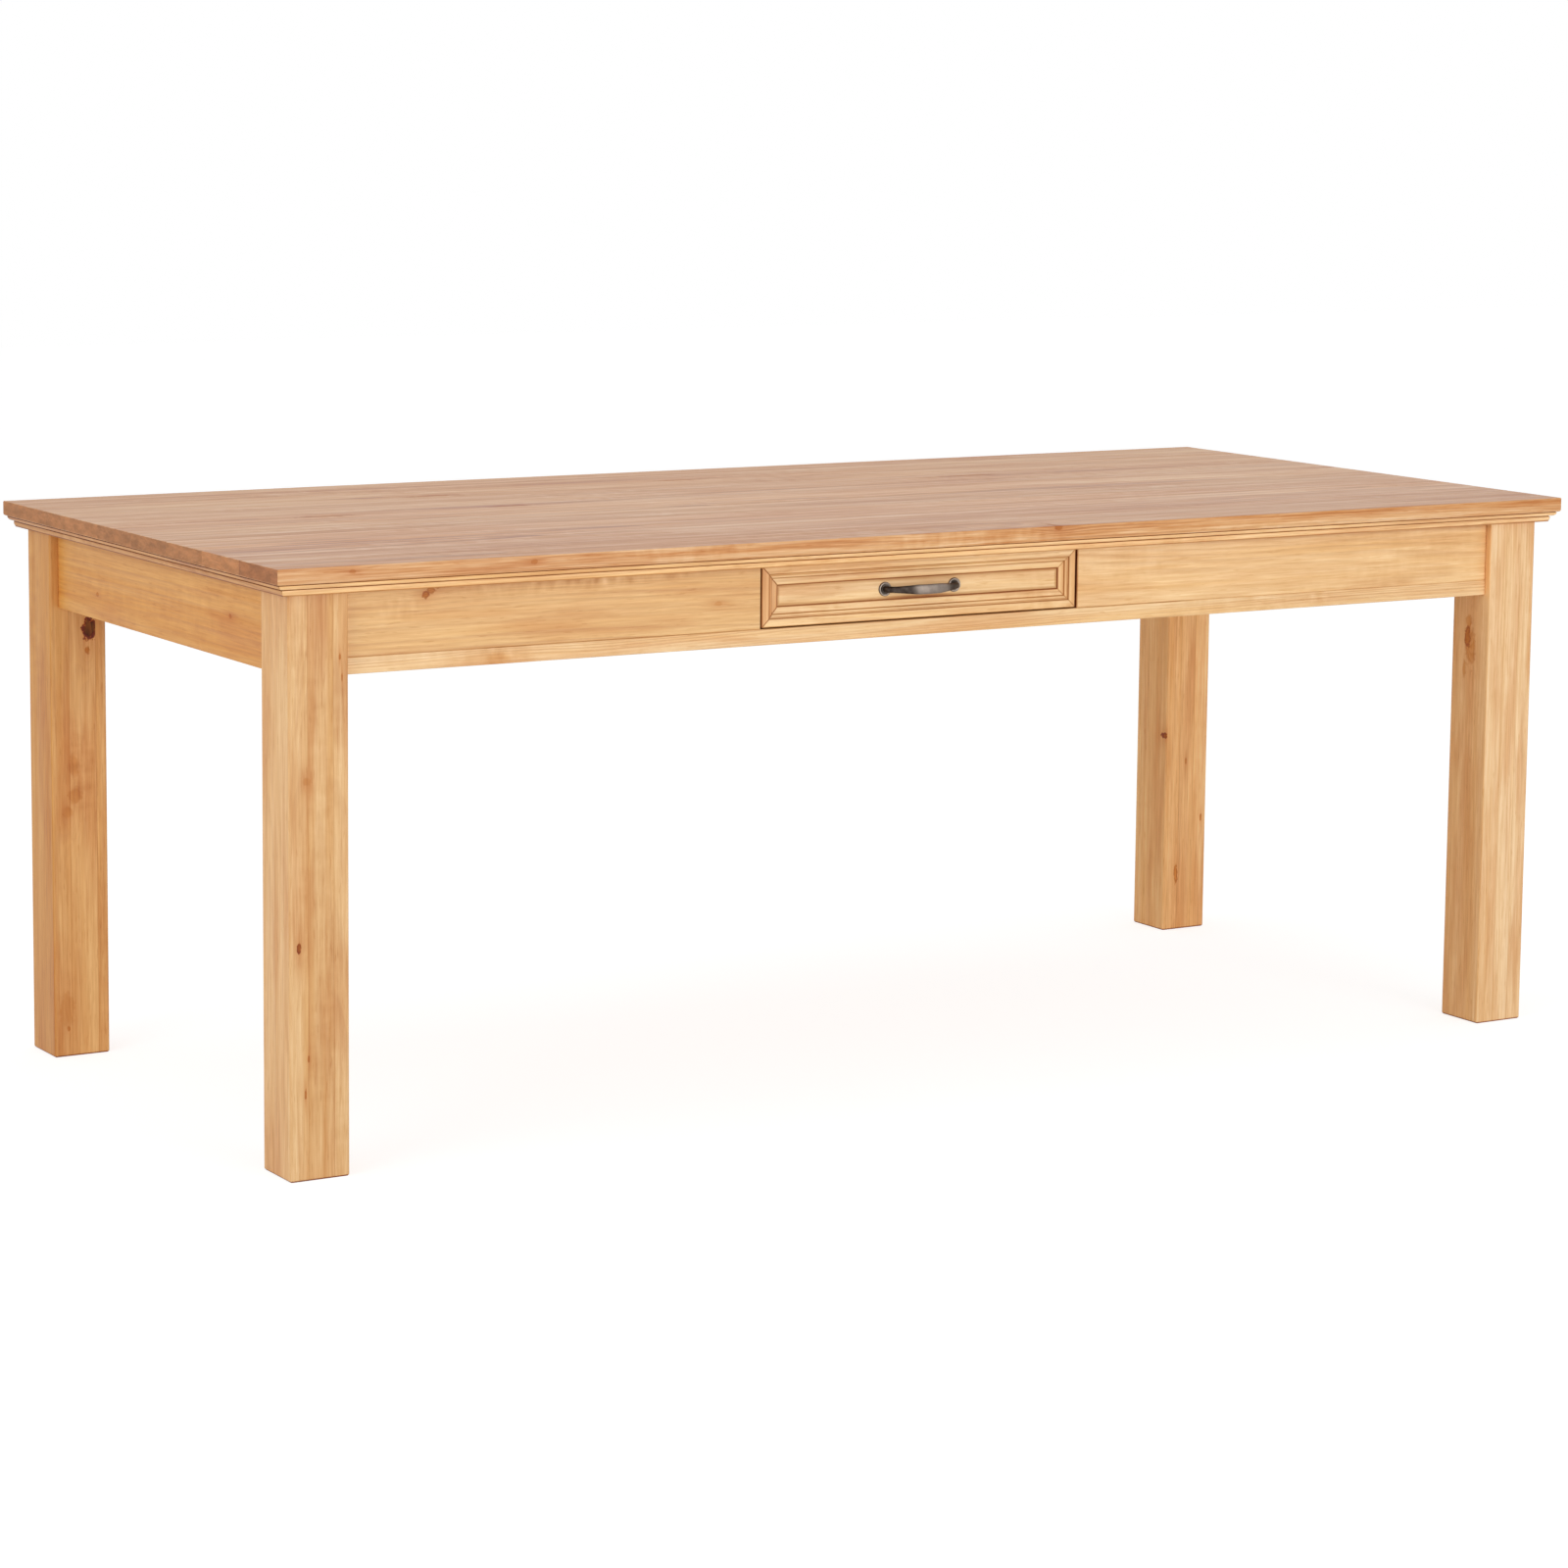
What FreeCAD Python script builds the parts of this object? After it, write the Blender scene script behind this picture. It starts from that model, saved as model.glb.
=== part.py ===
import FreeCAD, Part
import os
import re

import Sketcher

# A solid pine dining table with one drawer in its front apron, in millimetres.
# The floor is z = 0 under the middle of the top; X runs along the table, the drawer faces -Y.

SIZES = (
    ("table_length", 2000, "top, end to end"),
    ("table_width", 900, "top, front to back"),
    ("table_height", 760, "floor to top surface"),
    ("board_count", 8, "boards edge-glued into the top"),
    ("top_thickness", 20, "top boards"),
    ("top_round", 1.5, "upper edge of the top"),
    ("under_round", 3, "lower edge of the top"),
    ("overhang", 25, "top beyond the outer faces of the legs"),
    ("moulding_drop", 14.5, "edge moulding, height under the top"),
    ("head_quirk_in", 5.4, "groove over the upper bead, in from the top's edge"),
    ("head_quirk_height", 0.8, "groove over the upper bead"),
    ("upper_bead_out", 4, "upper bead, in from the top's edge"),
    ("upper_bead_in", 10, "foot of the upper bead, in from the top's edge"),
    ("upper_bead_foot", 6.2, "foot of the upper bead, below the top"),
    ("upper_bead_curve", 5.6, "upper bead, radius"),
    ("quirk_in", 12, "bottom of the groove between the beads"),
    ("quirk_height", 1, "groove between the beads"),
    ("lower_bead_out", 11, "head of the lower bead, in from the top's edge"),
    ("lower_bead_in", 12.4, "foot of the lower bead, in from the top's edge"),
    ("lower_bead_curve", 7.5, "lower bead, radius"),
    ("moulding_fillet", 1, "flat under the lower bead"),
    ("leg_size", 80, "square leg, side"),
    ("leg_round", 3, "leg, long edges"),
    ("leg_chamfer", 2, "leg, round the foot"),
    ("leg_flat", 14, "inner corner planed off under the top"),
    ("apron_recess", 12, "apron behind the leg's face"),
    ("apron_thickness", 22, "apron boards"),
    ("apron_height", 118, "aprons, top's underside to lower edge"),
    ("edge_ease", 0.6, "broken edges of aprons and rails"),
    ("lower_rail_height", 21, "rail under the drawer"),
    ("rail_depth", 44, "rails over and under the drawer, front to back"),
    ("upper_rail_lap", 40, "upper rail behind each front apron board"),
    ("drawer_centre", -60, "drawer's middle, along X"),
    ("drawer_opening", 494, "gap between the front apron boards"),
    ("drawer_side_gap", 2.5, "drawer front to apron board"),
    ("drawer_head_gap", 1.5, "drawer front to moulding"),
    ("drawer_foot_gap", 1.5, "drawer front to lower rail"),
    ("drawer_front_thickness", 22, "moulded frame of the drawer front"),
    ("frame_width", 26, "moulded frame, outer edge to panel"),
    ("frame_ease", 1, "moulded frame, outer arris"),
    ("band_width", 10.8, "flat outer band of the frame"),
    ("band_step", 1.4, "step down beside the band"),
    ("cove_end", 16.4, "inner end of the cove"),
    ("cove_depth", 3.2, "inner end of the cove, below the face"),
    ("cove_curve", 9, "cove, radius"),
    ("frame_quirk", 0.9, "groove inside the cove, width and depth"),
    ("ovolo_curve", 16, "inner slope of the frame, radius"),
    ("lip_depth", 5.4, "inner edge of the frame, below the face"),
    ("panel_recess", 6.5, "panel face behind the frame's face"),
    ("panel_thickness", 8, "drawer front panel"),
    ("panel_tongue", 6, "panel held in the frame's groove"),
    ("drawer_front_lip", 8.5, "drawer front beyond the outside of each drawer side"),
    ("drawer_depth", 450, "drawer sides, front to back"),
    ("drawer_side_thickness", 12, "drawer sides and back"),
    ("drawer_side_drop", 7.5, "drawer sides below the top of the drawer front"),
    ("side_tenon", 8, "tenon of a drawer side, into the front"),
    ("side_tenon_thickness", 6, "tenon of a drawer side"),
    ("side_tenon_height", 36, "tenon of a drawer side"),
    ("drawer_back_drop", 4, "drawer back below the sides' tops"),
    ("drawer_back_inset", 10, "drawer back, in from the sides' rear ends"),
    ("drawer_back_housing", 4, "drawer back let into each side"),
    ("bottom_rise", 8, "drawer bottom above the sides' lower edges"),
    ("bottom_thickness", 5, "drawer bottom"),
    ("bottom_tongue", 6, "drawer bottom held in its grooves"),
    ("runner_clearance", 1.5, "drawer side to runner guide"),
    ("runner_guide", 18, "runner guide, thickness"),
    ("runner_guide_height", 40, "runner guide above its ledge"),
    ("runner_reach", 14, "ledge under the drawer side"),
    ("runner_ledge", 20, "ledge, thickness"),
    ("kicker_gap", 2, "drawer side to kicker above it"),
    ("stop_length", 20, "drawer stop, front to back"),
    ("stop_height", 20, "drawer stop above the ledge"),
    ("stop_gap", 0.3, "closed drawer to its stops"),
    ("runner_tenon", 12, "tenon of a runner, into rail or apron"),
    ("runner_tenon_height", 12, "tenon of a runner"),
    ("runner_shoulder", 5, "shoulder at each side of a runner's tenon"),
    ("joint_fit", 0.1, "tenon, tongue or housed board to the wall of its slot"),
    ("joint_relief", 1, "hole or slot beyond what it holds"),
    ("block_gap", 2, "corner block to leg, drawn up by the bolts"),
    ("block_thickness", 28, "corner block, along its bolts"),
    ("block_height", 80, "corner block"),
    ("block_rise", 24, "corner block above the aprons' lower edges"),
    ("bolt_diameter", 10, "hanger bolt"),
    ("bolt_grip", 42, "hanger bolt inside the leg"),
    ("bolt_end", 4, "hanger bolt beyond its nut"),
    ("bolt_fit", 0.25, "bolt to hole wall"),
    ("washer_diameter", 30, "washer"),
    ("washer_thickness", 2.5, "washer"),
    ("nut_flats", 17, "nut across flats"),
    ("nut_height", 8, "nut"),
    ("bracket_arm", 30, "steel angle, each arm"),
    ("bracket_width", 40, "steel angle, along the apron"),
    ("bracket_gauge", 2.5, "steel angle, sheet"),
    ("bracket_along", 148, "angles on the long aprons, out from the upper rail"),
    ("bracket_across", 180, "angles on the short aprons, from their middle"),
    ("batten_width", 45, "batten under the top"),
    ("batten_thickness", 22, "batten under the top"),
    ("batten_inset", 325, "batten's middle, in from the leg"),
    ("handle_spacing", 108, "posts of the handle"),
    ("bow_rise", 18, "bow beyond its posts"),
    ("bow_thickness", 4, "bow, front to back"),
    ("grip_height", 13, "bow at its middle"),
    ("bow_end_height", 8, "bow at its posts"),
    ("bow_ease", 1.2, "long edges of the bow"),
    ("post_diameter", 8, "handle post"),
    ("post_length", 6, "handle post, rosette to bow"),
    ("knuckle_diameter", 9, "upright round end where the bow meets its post"),
    ("rosette_diameter", 19, "round plate under a post"),
    ("rosette_thickness", 2.5, "round plate at its rim"),
    ("rosette_dish", 0.9, "hollow inside the plate's rim"),
    ("rosette_rim", 2.2, "rim of the round plate"),
    ("handle_screw_diameter", 4, "handle screw"),
    ("handle_screw_head", 8, "handle screw head"),
    ("handle_screw_head_height", 2.4, "handle screw head"),
    ("handle_screw_bite", 7, "handle screw inside its post"),
    ("handle_screw_fit", 0.15, "handle screw to hole wall"),
)

# Places that several pieces share, written with the names above.
TOP_UNDERSIDE = "(table_height - top_thickness)"
APRON_BOTTOM = "(table_height - top_thickness - apron_height)"
MOULDING_BOTTOM = "(table_height - top_thickness - moulding_drop)"
OPENING_BOTTOM = "(" + APRON_BOTTOM + " + lower_rail_height)"
LEG_FACE_X = "(table_length / 2 - overhang)"
LEG_FACE_Y = "(table_width / 2 - overhang)"
APRON_SPAN_X = "(table_length - 2 * overhang - 2 * leg_size)"
APRON_SPAN_Y = "(table_width - 2 * overhang - 2 * leg_size)"
APRON_FACE_Y = "(" + LEG_FACE_Y + " - apron_recess)"
APRON_INSIDE_Y = "(" + APRON_FACE_Y + " - apron_thickness)"
APRON_INSIDE_X = "(" + LEG_FACE_X + " - apron_recess - apron_thickness)"
RAIL_INSIDE_Y = "(" + APRON_FACE_Y + " - rail_depth)"
FRONT_PANEL_LENGTH = "((" + APRON_SPAN_X + " - drawer_opening) / 2)"

DRAWER_WIDTH = "(drawer_opening - 2 * drawer_side_gap)"
DRAWER_BOTTOM = "(" + OPENING_BOTTOM + " + drawer_foot_gap)"
DRAWER_TOP = "(" + MOULDING_BOTTOM + " - drawer_head_gap)"
DRAWER_HEIGHT = "(" + DRAWER_TOP + " - " + DRAWER_BOTTOM + ")"
DRAWER_MIDDLE = "((" + DRAWER_TOP + " + " + DRAWER_BOTTOM + ") / 2)"
DRAWER_SIDE_X = "(" + DRAWER_WIDTH + " / 2 - drawer_front_lip)"
DRAWER_BOX_FRONT_Y = "(drawer_front_thickness - " + APRON_FACE_Y + ")"
DRAWER_BACK_Y = "(" + DRAWER_BOX_FRONT_Y + " + drawer_depth)"
SIDE_HEIGHT = "(" + DRAWER_HEIGHT + " - drawer_side_drop)"
SIDE_INSIDE_X = "(" + DRAWER_SIDE_X + " - drawer_side_thickness)"
SIDE_MIDDLE_X = "(" + DRAWER_SIDE_X + " - drawer_side_thickness / 2)"
BOTTOM_GROOVE_TOP = "(bottom_rise + bottom_thickness + joint_fit)"
PANEL_FACE_Y = "(panel_recess - " + APRON_FACE_Y + ")"

GUIDE_INSIDE = "(" + DRAWER_SIDE_X + " + runner_clearance)"
RUNNER_OUTSIDE = "(" + GUIDE_INSIDE + " + runner_guide)"
RUNNER_INSIDE = "(" + DRAWER_SIDE_X + " - runner_reach)"
RUNNER_LENGTH = "(" + RAIL_INSIDE_Y + " + " + APRON_INSIDE_Y + ")"
RUNNER_TENON_BOTTOM = "((lower_rail_height - runner_tenon_height) / 2)"
KICKER_BOTTOM = "(" + DRAWER_BOTTOM + " + " + SIDE_HEIGHT + " + kicker_gap)"
SLOT_DEPTH = "(runner_tenon + joint_relief)"

# Corner fixing, measured inwards from a leg's outer corner.
APRON_BACK = "(apron_recess + apron_thickness)"
BLOCK_NEAR = "(2 * leg_size - leg_flat + block_gap * sqrt(2))"
BLOCK_FAR = "(" + BLOCK_NEAR + " + block_thickness * sqrt(2))"
BLOCK_MIDDLE_Z = "(" + APRON_BOTTOM + " + block_rise + block_height / 2)"
BOLT_START = "((2 * leg_size - leg_flat) / 2 - bolt_grip / sqrt(2))"
BOLT_HOLE = "(bolt_diameter + 2 * bolt_fit)"
BOLT_LENGTH = "(bolt_grip + block_gap + block_thickness + washer_thickness + nut_height + bolt_end)"

# Handle, measured from the panel's face: the bow is an arc through both posts.
POST_TOP = "(rosette_thickness + post_length)"
HANDLE_HOLE = "(handle_screw_diameter + 2 * handle_screw_fit)"
SCREW_HOLE_DEPTH = "(handle_screw_bite + joint_relief)"
BOW_RADIUS = "((handle_spacing * handle_spacing / 4 + bow_rise * bow_rise) / (2 * bow_rise))"

LEGS = (
    ("front_left", -1, -1, 0),
    ("front_right", 1, -1, 90),
    ("back_right", 1, 1, 180),
    ("back_left", -1, 1, 270),
)
SIDES = (("left", -1), ("right", 1))
TINY = 0.001
CUT_MARGIN = 2
SIZE_NAMES = {name for name, _, _ in SIZES}

Vector = FreeCAD.Vector
Rotation = FreeCAD.Rotation
UP = Vector(0, 0, 1)

doc = FreeCAD.newDocument("pine_table")
sheet = doc.addObject("Spreadsheet::Sheet", "Sizes")
pieces = []


def fill_sheet():
    """Write every driving dimension, with its alias, into the sheet."""
    for row, (alias, number, note) in enumerate(SIZES, 1):
        sheet.set("A%d" % row, note)
        sheet.set("B%d" % row, str(number))
        sheet.setAlias("B%d" % row, alias)
    doc.recompute()


def formula(text):
    """Turn text written with size names into an expression that reads them from the sheet."""
    return re.sub(r"[a-z_]+", lambda word: read_name(word.group(0)), str(text))


def read_name(word):
    """Give the sheet's cell for a size's name, and leave a function's name as it is."""
    return "Sizes." + word if word in SIZE_NAMES else word


def number(text):
    """Work out a formula from the sheet as it stands."""
    return float(sheet.evalExpression(formula(text)))


def bind(item, prop, text):
    """Tie one property of an object to a formula."""
    item.setExpression(prop, formula(text))


def place(item, x, y, z, rotation=Rotation()):
    """Turn an object and tie its position to three formulas."""
    item.Placement = FreeCAD.Placement(Vector(0, 0, 0), rotation)
    bind(item, "Placement.Base.x", x)
    bind(item, "Placement.Base.y", y)
    bind(item, "Placement.Base.z", z)


def turned(degrees):
    """Give a turn about the vertical."""
    return Rotation(UP, degrees)


def new_body(label, x="0", y="0", z="0", rotation=Rotation(), keep=True):
    """Start a piece; keep=False is for a pattern piece that is only copied."""
    body = doc.addObject("PartDesign::Body", label)
    place(body, x, y, z, rotation)
    if keep:
        pieces.append(body)
    return body


def new_sketch(body, name, plane, lift="0"):
    """Put a sketch on one of the body's own planes, moved along its normal by lift."""
    sketch = body.newObject("Sketcher::SketchObject", name)
    support = [item for item in body.Origin.OriginFeatures if item.Role == plane]
    sketch.AttachmentSupport = (support[0], [""])
    sketch.MapMode = "FlatFace"
    bind(sketch, "AttachmentOffset.Base.z", lift)
    return sketch


def hold_point(sketch, geometry, position, x, y):
    """Tie one point of a sketch to two formulas."""
    for kind, text in (("DistanceX", x), ("DistanceY", y)):
        constraint = Sketcher.Constraint(kind, -1, 1, geometry, position, number(text))
        index = sketch.addConstraint(constraint)
        bind(sketch, "Constraints[%d]" % index, text)


def outline(sketch, corners):
    """Draw a closed outline. A corner is (x, y), or (x, y, radius) where an arc starts.

    A positive radius bulges to the right of the way drawn, a negative one to the left.
    """
    count = len(corners)
    points = [Vector(number(corner[0]), number(corner[1]), 0) for corner in corners]
    starts = []
    for index, corner in enumerate(corners):
        first, last = points[index], points[(index + 1) % count]
        if len(corner) == 2:
            geometry = sketch.addGeometry(Part.LineSegment(first, last), False)
            starts.append((geometry, 1, 2))
            continue
        half = (last - first) * 0.5
        radius = abs(number(corner[2]))
        side = Vector(half.y, -half.x, 0).normalize() * (1 if number(corner[2]) > 0 else -1)
        rise = radius - (radius**2 - half.Length**2) ** 0.5
        geometry = sketch.addGeometry(Part.Arc(first, first + half + side * rise, last), False)
        forward = sketch.getPoint(geometry, 1).distanceToPoint(first) < TINY
        starts.append((geometry, 1, 2) if forward else (geometry, 2, 1))
    for index, (geometry, begin, end) in enumerate(starts):
        following, following_begin, _ = starts[(index + 1) % count]
        joint = Sketcher.Constraint("Coincident", geometry, end, following, following_begin)
        sketch.addConstraint(joint)
        hold_point(sketch, geometry, begin, corners[index][0], corners[index][1])
        if len(corners[index]) == 3:
            radius = abs(number(corners[index][2]))
            held = sketch.addConstraint(Sketcher.Constraint("Radius", geometry, radius))
            bind(sketch, "Constraints[%d]" % held, "abs(%s)" % corners[index][2])


def rectangle(sketch, left, low, right, high):
    """Draw a rectangle between two corners."""
    outline(sketch, ((left, low), (right, low), (right, high), (left, high)))


def circle(sketch, x, y, diameter):
    """Draw a circle."""
    place_now = Vector(number(x), number(y), 0)
    geometry = sketch.addGeometry(Part.Circle(place_now, UP, number(diameter) / 2), False)
    hold_point(sketch, geometry, 3, x, y)
    index = sketch.addConstraint(Sketcher.Constraint("Diameter", geometry, number(diameter)))
    bind(sketch, "Constraints[%d]" % index, diameter)


def pad(body, sketch, length, midplane=False, reverse=False):
    """Raise a sketch into a solid."""
    feature = body.newObject("PartDesign::Pad", "pad")
    feature.Profile = sketch
    feature.Midplane = midplane
    feature.Reversed = reverse
    bind(feature, "Length", length)
    doc.recompute()
    return feature


def pocket(body, sketch, depth=None, midplane=False, reverse=False):
    """Cut a sketch into the body, right through where no depth is given."""
    before = body.Shape.Volume
    feature = body.newObject("PartDesign::Pocket", "pocket")
    feature.Profile = sketch
    feature.Midplane = midplane
    feature.Reversed = reverse
    if depth is None:
        feature.Type = "ThroughAll"
    else:
        bind(feature, "Length", depth)
    doc.recompute()
    if body.Shape.Volume > before - TINY:
        raise RuntimeError(body.Label + ": a pocket cuts nothing")
    return feature


def revolve(body, sketch):
    """Turn a half profile about the sketch's upright axis."""
    feature = body.newObject("PartDesign::Revolution", "turning")
    feature.Profile = sketch
    feature.ReferenceAxis = (sketch, ["V_Axis"])
    feature.Angle = 360
    doc.recompute()
    return feature


def bore(body, x, y, z, direction, diameter, depth):
    """Drill a round hole from a point along a direction."""
    before = body.Shape.Volume
    drill = body.newObject("PartDesign::SubtractiveCylinder", "bore")
    place(drill, x, y, z, Rotation(UP, direction))
    bind(drill, "Radius", "(%s) / 2" % diameter)
    bind(drill, "Height", depth)
    doc.recompute()
    if body.Shape.Volume > before - TINY:
        raise RuntimeError(body.Label + ": a bore cuts nothing")


def soften(body, kind, size, test):
    """Fillet or chamfer the edges whose bounding box passes a test."""
    base = body.Tip
    names = []
    for index, edge in enumerate(base.Shape.Edges, 1):
        if test(edge.BoundBox):
            names.append("Edge%d" % index)
    feature = body.newObject("PartDesign::" + kind, kind.lower())
    feature.Base = (base, names)
    bind(feature, "Radius" if kind == "Fillet" else "Size", size)
    doc.recompute()


def runs_along(axis):
    """Give a test for edges that run along X, Y or Z."""
    others = [name for name in "XYZ" if name != axis]
    return lambda box: all(getattr(box, name + "Length") < TINY for name in others)


def copies(label, pattern, places):
    """Repeat a pattern piece at each place, as one node of separate solids."""
    links = []
    for x, y, z, rotation in places:
        link = doc.addObject("App::Link", label + "_copy")
        link.LinkedObject = pattern
        place(link, x, y, z, rotation)
        links.append(link)
    group = doc.addObject("Part::Compound", label)
    group.Links = links
    pieces.append(group)


def board(label, length, width, thickness, x, y, z, run="X"):
    """Make a sawn board with broken long edges, from its lowest corner."""
    body = new_body(label, x, y, z)
    plan = new_sketch(body, "plan", "XY_Plane")
    rectangle(plan, "0", "0", length, width)
    pad(body, plan, thickness)
    soften(body, "Chamfer", "edge_ease", runs_along(run))
    return body


def mitred_strip(label, profile, length, width, x, y, z, rotation):
    """Make a moulded strip centred along its X, with Y inwards and Z up, mitred at both ends."""
    body = new_body(label, x, y, z, rotation)
    section = new_sketch(body, "section", "YZ_Plane")
    outline(section, profile)
    pad(body, section, length, midplane=True)
    for sign in (-1, 1):
        mitre = new_sketch(body, "mitre", "XY_Plane", CUT_MARGIN)
        tip = "%d * ((%s) / 2 + %d)" % (sign, length, CUT_MARGIN)
        root = "%d * ((%s) / 2 - (%s) - %d)" % (sign, length, width, CUT_MARGIN)
        inner = "(%s) + %d" % (width, CUT_MARGIN)
        outline(mitre, ((tip, -CUT_MARGIN), (tip, inner), (root, inner)))
        pocket(body, mitre)
    return body


def top_boards():
    """Make the boards of the top, with its rounded edges."""
    width = "(table_width / board_count)"
    count = int(number("board_count"))
    for index in range(count):
        y = "-table_width / 2 + %d * %s" % (index, width)
        body = new_body("top_board_%d" % (index + 1), "-table_length / 2", y, TOP_UNDERSIDE)
        plan = new_sketch(body, "plan", "XY_Plane")
        rectangle(plan, "0", "0", "table_length", width)
        pad(body, plan, "top_thickness")
        for size, level in (("under_round", 0), ("top_round", number("top_thickness"))):
            soften(body, "Fillet", size, outer_edge_test(index, count, level))


def outer_edge_test(index, count, level):
    """Give a test for a top board's edges on the outline of the table, at one level."""
    length = number("table_length")
    width = number("table_width / board_count")

    def test(box):
        flat = abs(box.ZMin - level) < TINY and abs(box.ZMax - level) < TINY
        end = box.XMax < TINY or box.XMin > length - TINY
        front = index == 0 and box.YMax < TINY
        back = index == count - 1 and box.YMin > width - TINY
        return flat and (end or front or back)

    return test


def edge_mouldings():
    """Make the two-bead moulding under the edge of the top, mitred at its corners."""
    profile = (
        ("head_quirk_in", "0"),
        ("head_quirk_in", "-head_quirk_height"),
        ("upper_bead_out", "-head_quirk_height", "upper_bead_curve"),
        ("upper_bead_in", "-upper_bead_foot"),
        ("quirk_in", "-upper_bead_foot"),
        ("quirk_in", "-upper_bead_foot - quirk_height"),
        ("lower_bead_out", "-upper_bead_foot - quirk_height", "lower_bead_curve"),
        ("lower_bead_in", "-moulding_drop + moulding_fillet"),
        ("lower_bead_in", "-moulding_drop"),
        ("overhang", "-moulding_drop"),
        ("overhang", "0"),
    )
    strips = (
        ("front", "table_length", "0", "-table_width / 2", 0),
        ("right", "table_width", "table_length / 2", "0", 90),
        ("back", "table_length", "0", "table_width / 2", 180),
        ("left", "table_width", "-table_length / 2", "0", 270),
    )
    for side, length, x, y, turn in strips:
        label = "edge_moulding_" + side
        mitred_strip(label, profile, length, "overhang", x, y, TOP_UNDERSIDE, turned(turn))


def legs():
    """Make the four legs, each modelled inwards from its outer corner."""
    for name, x_side, y_side, turn in LEGS:
        x = "%d * %s" % (x_side, LEG_FACE_X)
        y = "%d * %s" % (y_side, LEG_FACE_Y)
        body = new_body("leg_" + name, x, y, "0", turned(turn))
        plan = new_sketch(body, "plan", "XY_Plane")
        rectangle(plan, "0", "0", "leg_size", "leg_size")
        pad(body, plan, TOP_UNDERSIDE)
        soften(body, "Fillet", "leg_round", runs_along("Z"))
        soften(body, "Chamfer", "leg_chamfer", lambda box: box.ZMax < TINY)
        flat = new_sketch(body, "flat", "XY_Plane", TOP_UNDERSIDE)
        near = "leg_size - leg_flat - %d" % CUT_MARGIN
        far = "leg_size + %d" % CUT_MARGIN
        outline(flat, ((far, near), (far, far), (near, far)))
        pocket(body, flat, "apron_height")
        start = "(2 * leg_size - leg_flat) / 2"
        inwards = Vector(-1, -1, 0)
        depth = "bolt_grip + joint_relief"
        bore(body, start, start, BLOCK_MIDDLE_Z, inwards, BOLT_HOLE, depth)


def tenon_outline(side, fit="0"):
    """Give the corners of a runner's tenon, or with a fit of its slot, from the drawer's middle."""
    near = "%d * (%s + runner_shoulder - %s)" % (side, RUNNER_INSIDE, fit)
    far = "%d * (%s - runner_shoulder + %s)" % (side, RUNNER_OUTSIDE, fit)
    low = "%s - %s" % (RUNNER_TENON_BOTTOM, fit)
    high = "%s + runner_tenon_height + %s" % (RUNNER_TENON_BOTTOM, fit)
    return (near, low, far, high)


def runner_slots(body, plane_y, from_behind):
    """Cut the two slots that hold the runners' tenons into a rail or apron."""
    for _, side in SIDES:
        slot = new_sketch(body, "runner_slot", "XZ_Plane", "-(%s)" % plane_y)
        near, low, far, high = tenon_outline(side, "joint_fit")
        middle = APRON_SPAN_X + " / 2 + drawer_centre + "
        rectangle(slot, middle + near, low, middle + far, high)
        pocket(body, slot, SLOT_DEPTH, reverse=from_behind)


def aprons():
    """Make the apron boards and the rails over and under the drawer."""
    left_end = "-" + APRON_SPAN_X + " / 2"
    face = "-" + APRON_FACE_Y
    for name, side in SIDES:
        start = left_end if side < 0 else "drawer_centre + drawer_opening / 2"
        length = "(%s - %d * drawer_centre)" % (FRONT_PANEL_LENGTH, side)
        height = "apron_height - lower_rail_height"
        label = "front_apron_" + name
        board(label, length, "apron_thickness", height, start, face, OPENING_BOTTOM)

    lower = board(
        "front_lower_rail", APRON_SPAN_X, "rail_depth", "lower_rail_height",
        left_end, face, APRON_BOTTOM,
    )
    runner_slots(lower, "rail_depth", True)

    upper = new_body("front_upper_rail", "drawer_centre", face, MOULDING_BOTTOM)
    plan = new_sketch(upper, "plan", "XY_Plane")
    half = "drawer_opening / 2"
    wide = "(drawer_opening / 2 + upper_rail_lap)"
    outline(plan, (
        ("-" + half, "0"), (half, "0"), (half, "apron_thickness"), (wide, "apron_thickness"),
        (wide, "rail_depth"), ("-" + wide, "rail_depth"), ("-" + wide, "apron_thickness"),
        ("-" + half, "apron_thickness"),
    ))
    pad(upper, plan, "moulding_drop")

    back = board(
        "back_apron", APRON_SPAN_X, "apron_thickness", "apron_height",
        left_end, APRON_INSIDE_Y, APRON_BOTTOM,
    )
    runner_slots(back, "0", False)

    for name, side in SIDES:
        x = "-" + LEG_FACE_X + " + apron_recess" if side < 0 else APRON_INSIDE_X
        y = "-" + APRON_SPAN_Y + " / 2"
        board(
            name + "_apron", "apron_thickness", APRON_SPAN_Y, "apron_height",
            x, y, APRON_BOTTOM, run="Y",
        )


def corner_blocks():
    """Make the blocks that span each corner and draw a leg in by its hanger bolt."""
    for name, x_side, y_side, turn in LEGS:
        x = "%d * %s" % (x_side, LEG_FACE_X)
        y = "%d * %s" % (y_side, LEG_FACE_Y)
        z = APRON_BOTTOM + " + block_rise"
        body = new_body("corner_block_" + name, x, y, z, turned(turn))
        plan = new_sketch(body, "plan", "XY_Plane")
        near = BLOCK_NEAR + " - " + APRON_BACK
        far = BLOCK_FAR + " - " + APRON_BACK
        outline(plan, (
            (near, APRON_BACK), (far, APRON_BACK), (APRON_BACK, far), (APRON_BACK, near),
        ))
        pad(body, plan, "block_height")
        start = BLOCK_NEAR + " / 2 - block_gap / sqrt(2)"
        outwards = Vector(1, 1, 0)
        depth = "block_thickness + 2 * block_gap"
        bore(body, start, start, "block_height / 2", outwards, BOLT_HOLE, depth)


def turned_pattern(label, profile):
    """Make a turned piece that is only copied; its axis is Z."""
    body = new_body(label, keep=False)
    half = new_sketch(body, "half", "XZ_Plane")
    outline(half, profile)
    revolve(body, half)
    return body


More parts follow.
